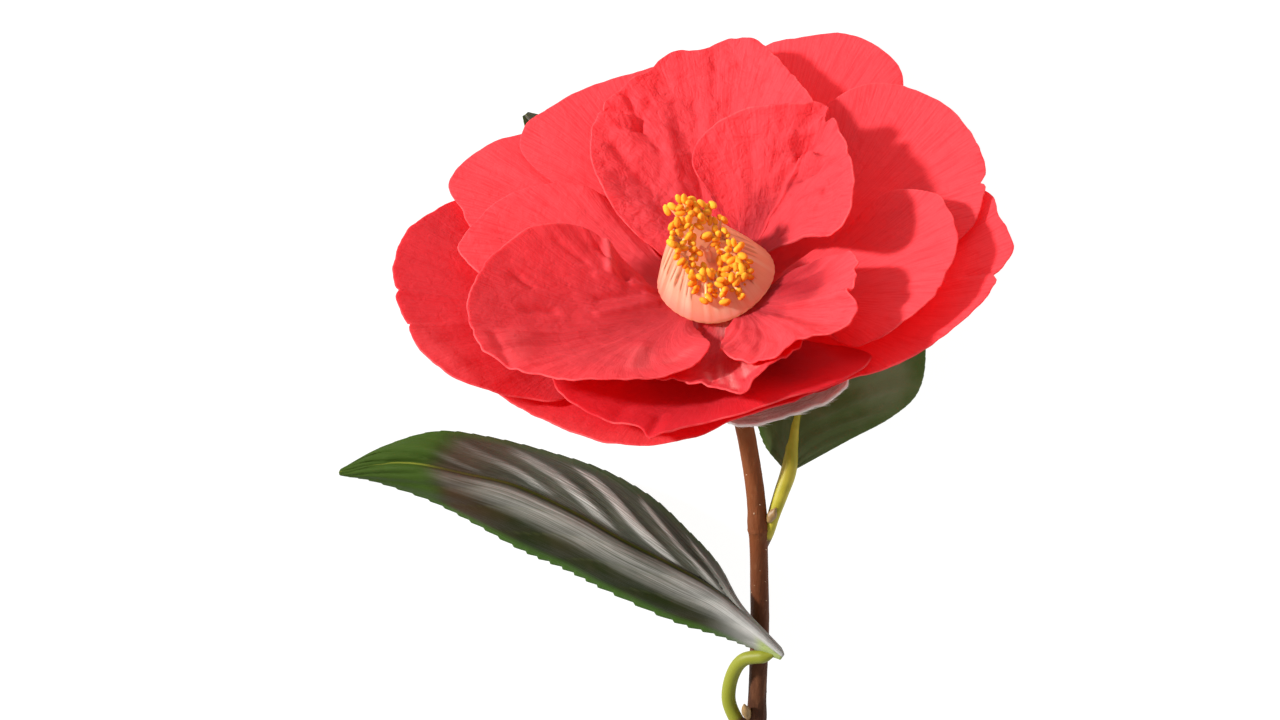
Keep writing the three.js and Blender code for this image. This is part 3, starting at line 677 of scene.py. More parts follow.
def hairs(name, sheet_mesh, slot, finish, count, length, width, seed):
    """Silky hairs that lie along the attribute grow of a mesh, a little raised from it."""
    growth = Growth(name + "_growth", Density=float(count), Length=length, Width=width, Seed=seed)
    spots = growth.scattered()
    away = spots.node.outputs["Normal"]
    hair = growth.add("GeometryNodeMeshCone", {}, {
        "Vertices": 3, "Side Segments": 2, "Radius Top": 0.000004, "Radius Bottom": growth.size("Width"),
        "Depth": growth.size("Length")})
    stray = growth.chance((-0.14, -0.14, -0.14), (0.14, 0.14, 0.14))
    grow = growth.add("GeometryNodeInputNamedAttribute", {"data_type": "FLOAT_VECTOR"}, {"Name": "grow"})
    raised = growth.add("ShaderNodeVectorMath", {"operation": "MULTIPLY_ADD"},
                        {0: away, 1: (0.05, 0.05, 0.05), 2: grow})
    lean = growth.add("ShaderNodeVectorMath", {"operation": "ADD"}, {0: raised, 1: stray})
    turn = growth.add("FunctionNodeAlignRotationToVector", {"axis": "Z"}, {"Vector": lean})
    spread = growth.chance(0.55, 1.15)
    coat = growth.add("GeometryNodeInstanceOnPoints", {},
                      {"Points": spots, "Instance": hair, "Rotation": turn, "Scale": spread})
    growth.grow(name, sheet_mesh, coat, finish, slot)


sepal_finish = Finish("sepal_mauve", Roughness=0.62, Specular_IOR_Level=0.35)
across, along = sepal_finish.own_map()
streaks = sepal_finish.grain(sepal_finish.vector(across * 9, along * 1.1), detail=3, roughness=0.6,
                             distortion=0.3)
silk = sepal_finish.grain(sepal_finish.vector(across * 46, along * 3))
sepal_finish.ground(streaks.ease(0.38, 0.64), SILVER_DOWN, MAUVE_BROWN)
sepal_finish.cover(silk.ease(0.5, 0.75) * 0.6, SILK_GREY)
edge = 1 - sepal_finish.trait("rim").ease(0.2, 1.4)
sepal_finish.cover(edge * 0.7, SEPAL_EDGE)
sepal_finish.feed(Normal=sepal_finish.bump(silk + streaks * 0.6, 0.00016))
sepal_finish.let_through(0.3, SEPAL_GLOW)

hair_finish = Finish("silky_hair", Roughness=0.45, Specular_IOR_Level=0.5)
glint = hair_finish.grain(hair_finish.place(), scale=900)
hair_finish.ground(glint, HAIR_GREY, HAIR_WHITE)
hair_finish.feed()
hair_finish.let_through(0.45, HAIR_GLOW)


def sepal(name, slot, fan, seed, hair_count, hair_length, sideways=False):
    """A sepal with its coat of hairs, hair_count to the square metre, which lie along or across it."""
    sheet = fan_grid(step_along=0.7, step_across=0.7, **fan)
    ribs = soft_noise(sheet["way"] / 2.6, sheet["t"] * 1.2, 0.0, seed=seed)
    sheet["height"] = sheet["height"] + 0.16 * ribs * eased(sheet["t"], 0.1, 0.5)
    half = rounded(sheet["border"], SEPAL_THICKNESS / 2)
    middle = in_flower(sheet["x"], sheet["y"], sheet["height"])
    points, faces, both = shell(middle, half, half)
    grain = [sheet["way"] / 10, sheet["t"] * 3]
    marks = both(np.stack(grain[::-1] if sideways else grain, -1))
    traits = {"rim": both(np.minimum(sheet["border"], 3))}
    piece = finished(name, points, faces, sepal_finish, name, marks, traits, len(faces) // 2)
    coat = piece.data.copy()
    give_vectors(coat, "grow", both(unit(np.gradient(middle, axis=1 if sideways else 0))))
    hairs(name + "_hairs", coat, slot, hair_finish, hair_count, hair_length * MM, 0.035 * MM, seed)


sepal("sepal_1", "sepal_silky", LONG_SEPAL, 21, hair_count=2.6e6, hair_length=2.4, sideways=True)
for order, (name, root) in enumerate(SHORT_SEPAL_ROOTS.items()):
    rim = [[direction + root, reach, height] for direction, reach, height in SHORT_SEPAL_RIM]
    fan = dict(seat=-5.9, root=root, bend=1.6, rim=rim)
    sepal(name, "sepal", fan, 31 + order, hair_count=1.2e6, hair_length=1.6)

# ------------------------------------------------------------------ receptacle
# The knob at the end of the twig carries scales, petals and stamens. It is fleshy, red above and
# greenish below, and faintly fluted where the claws stand on it.

FLESH_GREEN = (0.42, 0.36, 0.12)
FLESH_RED = (0.80, 0.07, 0.08)
FLESH_SPECK = (0.90, 0.20, 0.18)
RECEPTACLE = [[0.9, -8.2], [2.2, -8.2], [3.0, -7.8], [3.6, -7.4], [4.3, -6.9], [4.8, -6.3], [4.9, -5.5],
              [4.9, -4], [4.85, -2.5], [4.9, -1], [4.9, 0.2], [4.7, 0.65], [4.2, 0.8], [2, 0.8]]


def closed_round(rows):
    """Points and faces of a body through closed rows of points, its two ends closed by fans."""
    count, around_count = rows.shape[:2]
    index = np.arange(count * around_count).reshape(count, around_count)
    after = np.roll(index, -1, axis=1)
    faces = np.stack([index[:-1], after[:-1], after[1:], index[1:]], -1).reshape(-1, 4).tolist()
    ends = [rows[0].mean(axis=0), rows[-1].mean(axis=0)]
    first, last = count * around_count, count * around_count + 1
    faces += [[first, b, a] for a, b in zip(index[0], after[0])]
    faces += [[last, a, b] for a, b in zip(index[-1], after[-1])]
    faces = [[int(corner) for corner in face] for face in faces]
    return np.concatenate([rows.reshape(-1, 3), ends]), faces


receptacle_finish = Finish("receptacle_flesh", Roughness=0.8, Specular_IOR_Level=0.05)
speck = receptacle_finish.grain(receptacle_finish.place(), scale=420, detail=3)
high = receptacle_finish.trait("high").ease(-7.6, -5.6)
receptacle_finish.ground(high, FLESH_GREEN, FLESH_RED)
receptacle_finish.cover(speck.ease(0.45, 0.8) * 0.4, FLESH_SPECK)
receptacle_finish.feed(Normal=receptacle_finish.bump(speck, 0.0002))

RECEPTACLE_SIDES = 120
turn = np.linspace(0, 2 * math.pi, RECEPTACLE_SIDES, endpoint=False)
reach, height = (column[:, None] + 0 * turn for column in np.array(RECEPTACLE).T)
reach = reach + 0.12 * (np.cos(15 * turn) - 1) * (reach > 4)
points, faces = closed_round(in_flower(reach * np.cos(turn), reach * np.sin(turn), height))
high = np.append(height, [RECEPTACLE[0][1], RECEPTACLE[-1][1]])
finished("receptacle", points, faces, receptacle_finish, "receptacle", traits={"high": high})

# ------------------------------------------------------------------ stamens and pistil
# Some forty fleshy peach filaments are fused into a stout cup, cut off aslant. Above it they part into
# short free strands, each with a two-lobed yellow anther. Three short stigmas stand inside.

CUP_PEACH = (0.99, 0.68, 0.50)
MOUTH_PEACH = (1.0, 0.77, 0.52)
PATCH_PEACH = (0.99, 0.58, 0.37)
FOLD_SHADE_ORANGE = (0.96, 0.30, 0.18)
FOOT_PINK = (0.95, 0.22, 0.20)
GROOVE_SHADE_ORANGE = (0.80, 0.22, 0.08)
SLIT_SHADE_BROWN = (0.28, 0.07, 0.01)
INSIDE_ORANGE = (0.98, 0.42, 0.22)
PEACH_GLOW = (1.0, 0.76, 0.54)
ANTHER_ORANGE = (0.98, 0.34, 0.012)
ANTHER_YELLOW = (1.0, 0.50, 0.03)
POLLEN_YELLOW = (1.0, 0.64, 0.08)
ANTHER_GLOW = (1.0, 0.36, 0.02)
STRAND_ORANGE = (0.96, 0.50, 0.16)
STRAND_PEACH = (0.98, 0.66, 0.34)
STRAND_GLOW = (0.98, 0.52, 0.2)
STYLE_PINK = (0.95, 0.40, 0.24)
STYLE_PEACH = (0.97, 0.50, 0.32)
COLUMN_RADIUS = 9.6
MOUTH_RADIUS = 3.8
MOUTH_HEIGHT = 11
MOUTH_SLANT = 4.4
MOUTH_FRONT = math.radians(285)
COLUMN_SHIFT = 0.5
COLUMN_LEAN = 0.13
FILAMENTS = 38
CUP_FLOOR = 6
ANTHER_SPACING = 1.5
TRIES = 4000
FOOT_ROWS = 8
WALL_ROWS = 30


def mouth(turn, inset=0, drop=0):
    """Reach and height of the cup's slanting mouth, or of a ring set in from it and dropped."""
    front = np.cos(turn - MOUTH_FRONT)
    return MOUTH_RADIUS + 2.4 * np.maximum(0, front) ** 2 - inset, MOUTH_HEIGHT - MOUTH_SLANT * front - drop


def in_column(reach, turn, height):
    """A place round the column, which leans a little to one side."""
    lean = COLUMN_SHIFT - COLUMN_LEAN * np.maximum(0, height - 3)
    return in_flower(reach * np.cos(turn) + lean, reach * np.sin(turn), height)


def round_noise(turn, scale, seed, height=0.0):
    """Noise that closes on itself round a body."""
    return soft_noise(np.cos(turn) * scale, np.sin(turn) * scale, height, seed=seed)


def ribbing(turn):
    """The number of the filament at each turn, the crest of its rib, and how far it parts from the next."""
    rib = turn / (2 * math.pi) * FILAMENTS + 0.35 * round_noise(turn, 3, seed=70)
    crest = np.abs(np.sin(math.pi * rib)) ** 0.7
    return rib, crest, eased(soft_noise(np.floor(rib) * 5.13, 0.5, 0.5, seed=72), 0.02, 0.16)


def cup_profile(turn):
    """The cup's wall, from its foot up its outside, over its mouth and down inside to its floor."""
    foot = 2.3 - 1.4 * np.maximum(0, np.cos(turn - math.radians(258))) ** 3
    rib, crest, slit = ribbing(turn)
    valley = 1 - crest
    own = soft_noise(np.floor(rib + 0.5) * 3.71, 0.5, 0.5, seed=71)
    broad = round_noise(turn, 1.9, seed=74) + 0.9 * round_noise(turn, 4.4, seed=75)
    rows = [(4.4, 1.0), (7.2, 0.7 + foot * 0.25), (8.4, 0.2 + foot * 0.62)]
    for swell in np.linspace(0, 1, FOOT_ROWS - len(rows)):
        rows.append((COLUMN_RADIUS - 0.6 * (1 - swell) ** 2 - 0.1 * valley, foot + 0.9 * swell))
    reach, height = mouth(turn)
    for way in np.linspace(0.04, 1, WALL_ROWS):
        free = eased(way, 0.35, 0.75)
        groove = valley * (0.02 + 0.05 * way + 0.9 * free * slit)
        bulge = (0.3 + 0.1 * own + 0.28 * broad) * math.sin(math.pi * way)
        rows.append((COLUMN_RADIUS + (reach - COLUMN_RADIUS) * way + bulge - groove,
                     foot + 0.9 + (height + 0.7 * own * free - foot - 0.9) * way))
    floor = CUP_FLOOR + 0.55 * (height - height.min())
    rows += [(reach - 0.35, height + 0.7 * own + 0.12), (reach - 0.75, height + 0.7 * own - 0.05),
             (reach - 1.1, height - 0.5), (reach - 1.8, height - 1.5),
             (1.6 + 0.2 * reach, 0.5 * (height - 1.5) + 0.5 * floor), (1.5, floor)]
    return [np.array([row[axis] + 0 * turn for row in rows]) for axis in (0, 1)]


CUP_SIDES = FILAMENTS * 8
turn = np.linspace(0, 2 * math.pi, CUP_SIDES, endpoint=False)
reach, height = cup_profile(turn)
points, faces = closed_round(in_column(reach, turn, height))
rib, crest, slit = ribbing(turn)
high = np.clip((np.arange(len(reach)) + 1 - FOOT_ROWS) / WALL_ROWS, 0, 1.1)[:, None]
# Painted shade: fold is a noise round the wall that darkens its broad folds in the colour.
fold = round_noise(turn, 7, seed=76)
strand = soft_noise(np.floor(rib + 0.5) * 2.3, 0.5, 0.5, seed=73)
slit = eased(high, 0.32, 0.55) * (high < 1.02) * slit * (1 - crest)
traits = {"slit": (slit, 0, 0), "crest": (crest, 1, 1), "high": (high, 0, 1.1), "fold": (fold, 0, 0),
          "strand": (strand, 0, 0)}
traits = {trait: np.append(values + 0 * reach, ends) for trait, (values, *ends) in traits.items()}

filament_finish = Finish("filament_peach", Roughness=0.5, Specular_IOR_Level=0.3)
high = filament_finish.trait("high")
crest = filament_finish.trait("crest")
flesh = filament_finish.grain(filament_finish.place(), scale=260, detail=3)
filament_finish.ground(high.ease(0.0, 0.9), CUP_PEACH, MOUTH_PEACH)
filament_finish.cover((flesh + filament_finish.trait("strand") * 0.4).ease(0.35, 0.75) * 0.5, PATCH_PEACH)
# Painted shade: darker orange bands for the wall's broad folds.
filament_finish.cover(filament_finish.trait("fold").ease(-0.15, 0.35) * 0.7, FOLD_SHADE_ORANGE)
filament_finish.cover((1 - high.ease(-0.05, 0.34)) * 0.7, FOOT_PINK)
# Painted shade: darker orange in the valleys between the ribs.
filament_finish.cover((1 - crest.ease(0.05, 0.65)) * (0.32 + 0.2 * high), GROOVE_SHADE_ORANGE)
# Painted shade: the slits where the strands part are painted brown.
filament_finish.cover(filament_finish.trait("slit").ease(0.06, 0.35), SLIT_SHADE_BROWN)
filament_finish.cover(high.ease(1.02, 1.08), INSIDE_ORANGE)
filament_finish.feed(Normal=filament_finish.bump(flesh, 0.00012))
filament_finish.let_through(0.62, PEACH_GLOW)
finished("stamen_column", points, faces, filament_finish, "stamen_column", traits=traits)

anther_finish = Finish("anther_yellow", Roughness=0.75, Specular_IOR_Level=0.25)
pollen = anther_finish.grain(anther_finish.place(), scale=1500)
patch = anther_finish.grain(anther_finish.place(), scale=380, detail=1)
anther_finish.ground(patch.ease(0.35, 0.7), ANTHER_ORANGE, ANTHER_YELLOW)
anther_finish.cover(pollen.ease(0.45, 0.75) * 0.5, POLLEN_YELLOW)
anther_finish.feed(Normal=anther_finish.bump(pollen, 0.00014))
anther_finish.let_through(0.25, ANTHER_GLOW)

# Where the anthers sit, kept apart, crowding over the mouth and a little way down its low side.
chance = np.random.default_rng(7)
seats, strands = [], []
for _ in range(TRIES):
    angle = chance.uniform(0, 2 * math.pi)
    inset, rise = chance.uniform(-0.9, 2.9), chance.uniform(0.1, 1.5)
    reach, height = mouth(np.array(angle), inset)
    low = 3.2 * max(0.0, math.cos(angle - MOUTH_FRONT)) ** 2 * chance.uniform(0, 1)
    spot = in_column(reach + 0.8 * low, angle, height + rise - 0.9 * low - 0.25 * max(0, inset - 1.4))
    if all(np.linalg.norm(spot - other) > ANTHER_SPACING for other in seats):
        seats.append(spot)
        foot_reach, foot_height = mouth(np.array(angle), 0.35, 0.5)
        strands.append(in_column(foot_reach, angle, foot_height))
spots = np.array(seats)
aims = unit(chance.normal(size=spots.shape))
mesh = bpy.data.meshes.new("anther_spots")
mesh.from_pydata((spots * MM).tolist(), [], [])
give_vectors(mesh, "aim", aims)

growth = Growth("anther_growth", Lobe=0.64 * MM, Apart=0.46 * MM, Seed=5)
lobe = growth.add("GeometryNodeMeshUVSphere", {},
                  {"Segments": 10, "Rings": 7, "Radius": growth.size("Lobe")})
lobes = []
for side, stretch in ((-1, 1.55), (1, 1.35)):
    offset = growth.add("ShaderNodeMath", {"operation": "MULTIPLY"},
                        {0: growth.size("Apart"), 1: float(side)})
    place = growth.add("ShaderNodeCombineXYZ", {}, {"Y": offset, "X": 0.00008 * side})
    lobes.append(growth.add("GeometryNodeTransform", {}, {
        "Geometry": lobe, "Translation": place, "Scale": (stretch, 0.82, 0.8),
        "Rotation": (0, 0.1, 0.22 * side)}))
pair = growth.add("GeometryNodeJoinGeometry", {}, {"Geometry": lobes})
aim = growth.add("GeometryNodeInputNamedAttribute", {"data_type": "FLOAT_VECTOR"}, {"Name": "aim"})
turned = growth.add("FunctionNodeAlignRotationToVector", {"axis": "X"}, {"Vector": aim})
spread = growth.chance(0.82, 1.2)
crowd = growth.add("GeometryNodeInstanceOnPoints", {},
                   {"Points": growth.base, "Instance": pair, "Rotation": turned, "Scale": spread})
growth.grow("anthers", mesh, crowd, anther_finish, "stamens")

# The free strand under each anther leaves the cup's wall and bends over to it.
strand_points, strand_edges = [], []
for spot, foot in zip(spots, strands):
    middle = 0.5 * (spot + foot) + 0.5 * FLOWER_AXIS
    start = len(strand_points)
    strand_points += [foot, 0.3 * foot + 0.7 * middle, 0.45 * middle + 0.55 * spot, spot]
    strand_edges += [(start, start + 1), (start + 1, start + 2), (start + 2, start + 3)]
mesh = bpy.data.meshes.new("strand_lines")
mesh.from_pydata((np.array(strand_points) * MM).tolist(), strand_edges, [])
growth = Growth("strand_growth", Radius=0.24 * MM)
line = growth.add("GeometryNodeMeshToCurve", {}, {"Mesh": growth.base})
ring = growth.add("GeometryNodeCurvePrimitiveCircle", {},
                  {"Resolution": 7, "Radius": growth.size("Radius")})
tubes = growth.add("GeometryNodeCurveToMesh", {}, {"Curve": line, "Profile Curve": ring, "Fill Caps": True})
strand_finish = Finish("free_strand", Roughness=0.5)
strand_tint = strand_finish.grain(strand_finish.place(), scale=500)
strand_finish.ground(strand_tint, STRAND_ORANGE, STRAND_PEACH)
strand_finish.feed()
strand_finish.let_through(0.25, STRAND_GLOW)
growth.grow("free_strands", mesh, tubes, strand_finish, "stamens")


def tube(route, radius_at, step, sides):
    """Closed rows of points round a smooth route, and the way along it at each row, in mm."""
    fine = smooth_curve(route, np.linspace(0, 1, 1500))
    run = run_along(fine)
    way = np.linspace(0, run[-1], round(run[-1] / step) + 1)
    centre = np.stack([np.interp(way, run, fine[:, axis]) for axis in range(3)], -1)
    ahead = unit(np.gradient(centre, axis=0))
    side = np.zeros_like(ahead)
    last = np.array([0.0, 0.0, 1.0]) if abs(ahead[0, 2]) < 0.9 else np.array([1.0, 0.0, 0.0])
    for i, direction in enumerate(ahead):
        last = last - last @ direction * direction
        last = last / np.linalg.norm(last)
        side[i] = last
    turn = np.linspace(0, 2 * math.pi, sides, endpoint=False)[:, None]
    radius = radius_at(way[:, None] / run[-1], turn[:, 0])[..., None]
    ring = side[:, None] * np.cos(turn) + np.cross(ahead, side)[:, None] * np.sin(turn)
    return centre[:, None] + radius * ring, way


STIGMA = [[0, 8.346], [0.35, 8.874], [0.7, 9.204], [1.15, 9.336]]
PISTIL_SHIFT = -0.1

pistil_finish = Finish("pistil_cream", Roughness=0.45)
dew = pistil_finish.grain(pistil_finish.place(), scale=700)
pistil_finish.ground(dew, STYLE_PINK, STYLE_PEACH)
pistil_finish.feed(Normal=pistil_finish.bump(dew, 0.0001))
parts = [([[0, 0, 6.3], [0, 0, 7.422], [0.05, 0, 8.082], [0, 0, 8.742]],
          lambda t, turn: 1.1 - 0.6 * t + 0.05 * np.cos(3 * turn))]
for direction in (30, 150, 270):
    x, y = toward(direction)
    parts.append(([[reach * x, reach * y, height] for reach, height in STIGMA],
                  lambda t, turn: 0.34 - 0.06 * t + 0.05 * np.sin(9 * t) + 0 * turn))
points, faces = np.zeros((0, 3)), []
for route, radius_at in parts:
    x, y, height = np.array(route).T
    rows, _ = tube(in_flower(x + PISTIL_SHIFT, y, height), radius_at, step=0.2, sides=14)
    own_points, own_faces = closed_round(rows)
    faces += [[corner + len(points) for corner in face] for face in own_faces]
    points = np.concatenate([points, own_points])
finished("pistil", points, faces, pistil_finish, "pistil")

# ------------------------------------------------------------------ twig
# The woody twig leaves the flower along its axis and ends in a straight cut. Its reddish-brown bark is
# finely furrowed and dotted with lenticels, and it swells at two nodes, each with a leaf scar and a bud.

OLD_BARK = (0.050, 0.016, 0.006)
YOUNG_BARK = (0.22, 0.058, 0.014)
BARK_BLOTCH = (0.15, 0.054, 0.022)
BARK_FIBRE = (0.26, 0.11, 0.045)
WOOD_BUFF = (0.62, 0.47, 0.24)
WOOD_CREAM = (0.80, 0.68, 0.42)
CORK_BROWN = (0.36, 0.19, 0.10)
CORK_TAN = (0.52, 0.32, 0.19)
BUD_BROWN = (0.16, 0.10, 0.03)
BUD_TAN = (0.36, 0.20, 0.07)
TWIG_RADIUS = 1.55
TWIG_ROUTE = [[16, -6, 22.8], [17.8, -14, 19.4], [19.4, -25, 15.9], [20, -41, 10.3], [19.9, -51, 7.3],
              [19.6, -60.5, 4.9], [19.4, -69, 3], [19.3, -76, 1.75]]
TWIG_TOP = FLOWER_CENTRE - 8.5 * FLOWER_AXIS
TWIG_NODES = (0.41, 0.81)
NODE_SWELLING = 0.2
TWIG_SIDES = 40


def twig_radius(t, turn):
    """The twig's radius, at a share t of its length: swollen at each node, with the rim of a leaf scar."""
    radius = TWIG_RADIUS + 0 * t * turn
    for at in TWIG_NODES:
        radius = radius + NODE_SWELLING * np.exp(-(((t - at) / 0.022) ** 2))
        radius = radius + 0.09 * np.exp(-(((t - at - 0.012) / 0.0035) ** 2)) * (1 + 0.5 * np.cos(turn))
    furrows = (0.09 * round_noise(turn, 2.2, seed=80, height=t * 9)
               + 0.03 * round_noise(turn, 6, seed=81, height=t * 60))
    return radius - 0.02 + furrows - 0.12 * eased(t, 0.9965, 1.0)


bark_finish = Finish("twig_bark", Roughness=0.62, Specular_IOR_Level=0.14)
x, y, z = bark_finish.parts(bark_finish.place())
fibre = bark_finish.grain(bark_finish.vector(x * 1500, y * 110, z * 1500), detail=4, roughness=0.6)
blotch = bark_finish.grain(bark_finish.vector(x * 260, y * 120, z * 260), detail=3)
upper = y.ease(-0.050, 0.012)
bark_finish.ground(upper, OLD_BARK, YOUNG_BARK)
bark_finish.cover(blotch.ease(0.42, 0.68) * 0.5, BARK_BLOTCH)
bark_finish.cover(fibre.ease(0.5, 0.8) * 0.3, BARK_FIBRE)
wood = bark_finish.grain(bark_finish.place(), scale=1400)
cut = bark_finish.blend(wood, WOOD_BUFF, WOOD_CREAM)
bark_finish.cover(bark_finish.trait("cut"), cut)
bark_finish.feed(Normal=bark_finish.bump(fibre + blotch * 0.5, 0.00022))

route = np.vstack([[TWIG_TOP], [TWIG_TOP - 3 * FLOWER_AXIS], TWIG_ROUTE + SPRAY_PLACE])
rows, way = tube(route, twig_radius, step=0.25, sides=TWIG_SIDES)
pith = rows[-1].mean(axis=0)
face_rings = [pith + (rows[-1] - pith) * share for share in (0.93, 0.9, 0.6, 0.22, 0.18)]
rows = np.concatenate([rows, face_rings])
points, faces = closed_round(rows)
cut = np.append(np.repeat(np.arange(len(rows)) > len(way), TWIG_SIDES), [False, True])
finished("twig", points, faces, bark_finish, "twig", traits={"cut": cut})

growth = Growth("lenticel_growth", Density=9.0e4, Radius=0.16 * MM, Seed=12)
spots = growth.scattered()
wart = growth.add("GeometryNodeMeshIcoSphere", {}, {"Radius": growth.size("Radius"), "Subdivisions": 2})
spread = growth.chance((0.5, 0.8, 0.3), (0.9, 1.7, 0.5))
warts = growth.add("GeometryNodeInstanceOnPoints", {}, {
    "Points": spots, "Instance": wart, "Rotation": spots.node.outputs["Rotation"], "Scale": spread})
lenticel_finish = Finish("lenticel_tan", Roughness=0.8)
cork = lenticel_finish.grain(lenticel_finish.place(), scale=1200)
lenticel_finish.ground(cork, CORK_BROWN, CORK_TAN)
lenticel_finish.feed()
plain_twig = bpy.data.objects["twig"].data.copy()
growth.grow("twig_lenticels", plain_twig, warts, lenticel_finish, "twig_bark")

bud_finish = Finish("bud_scales", Roughness=0.5)
scale_tint = bud_finish.grain(bud_finish.place(), scale=900)
bud_finish.ground(scale_tint, BUD_BROWN, BUD_TAN)
bud_finish.feed(Normal=bud_finish.bump(scale_tint, 0.0001))
BUDS = {
    "bud_upper": ([21.3, -26.8, 16.2], [22.5, -24.4, 17.6]),
    "bud_lower": ([18.2, -60.2, 6.2], [17.4, -57.6, 8.4]),
}
BUD_RADIUS = 0.75
for name, (foot, tip) in BUDS.items():
    foot, tip = np.array(foot) + SPRAY_PLACE, np.array(tip) + SPRAY_PLACE
    bulge = lambda t, turn: BUD_RADIUS * np.sin(math.pi * (0.16 + 0.82 * t)) ** 0.9 * (
        1 + 0.08 * np.sign(np.sin(turn * 2 + 9 * t)) * eased(t, 0.1, 0.4))
    route = [foot, 0.66 * foot + 0.34 * tip, 0.33 * foot + 0.67 * tip, tip]
    rows, _ = tube(route, bulge, step=0.12, sides=18)
    points, faces = closed_round(rows)
    finished(name, points, faces, bud_finish)

# ------------------------------------------------------------------ leaves
# Three leathery evergreen leaves on yellow-green stalks. Each blade is finely toothed and folds up along
# its midrib, quilted between sunken side veins, dark and glossy above with a silvery sheen painted into
# its colour, pale below.

STALK_GREEN = (0.34, 0.30, 0.016)
STALK_YELLOW = (0.46, 0.39, 0.035)
SHADED_LOW_STALK_GREEN = (0.20, 0.21, 0.012)
STALK_FOOT_BROWN = (0.12, 0.055, 0.02)
FLUSH_BROWN = (0.050, 0.026, 0.014)
PAINTED_FOOT_SHEEN = (0.62, 0.60, 0.56)
PAINTED_NEAR_SHEEN = (0.33, 0.315, 0.28)
PAINTED_FAR_SHEEN = (0.58, 0.56, 0.51)
MARGIN_GREEN = (0.045, 0.110, 0.008)
TIP_GREEN = (0.040, 0.075, 0.010)
RIB_GREEN = (0.30, 0.31, 0.04)
FOOT_GREEN = (0.36, 0.44, 0.12)
VEIN_GREEN = (0.20, 0.24, 0.07)
BACK_GREEN = (0.20, 0.27, 0.08)
BACK_PALE = (0.28, 0.36, 0.12)
BACK_RIB = (0.45, 0.48, 0.16)
LEAF_GLOW = (0.10, 0.20, 0.01)
LEAF_THICKNESS = 0.42
TEETH = 34
BLADE_ROWS = 300
STALK_SIDES = 24

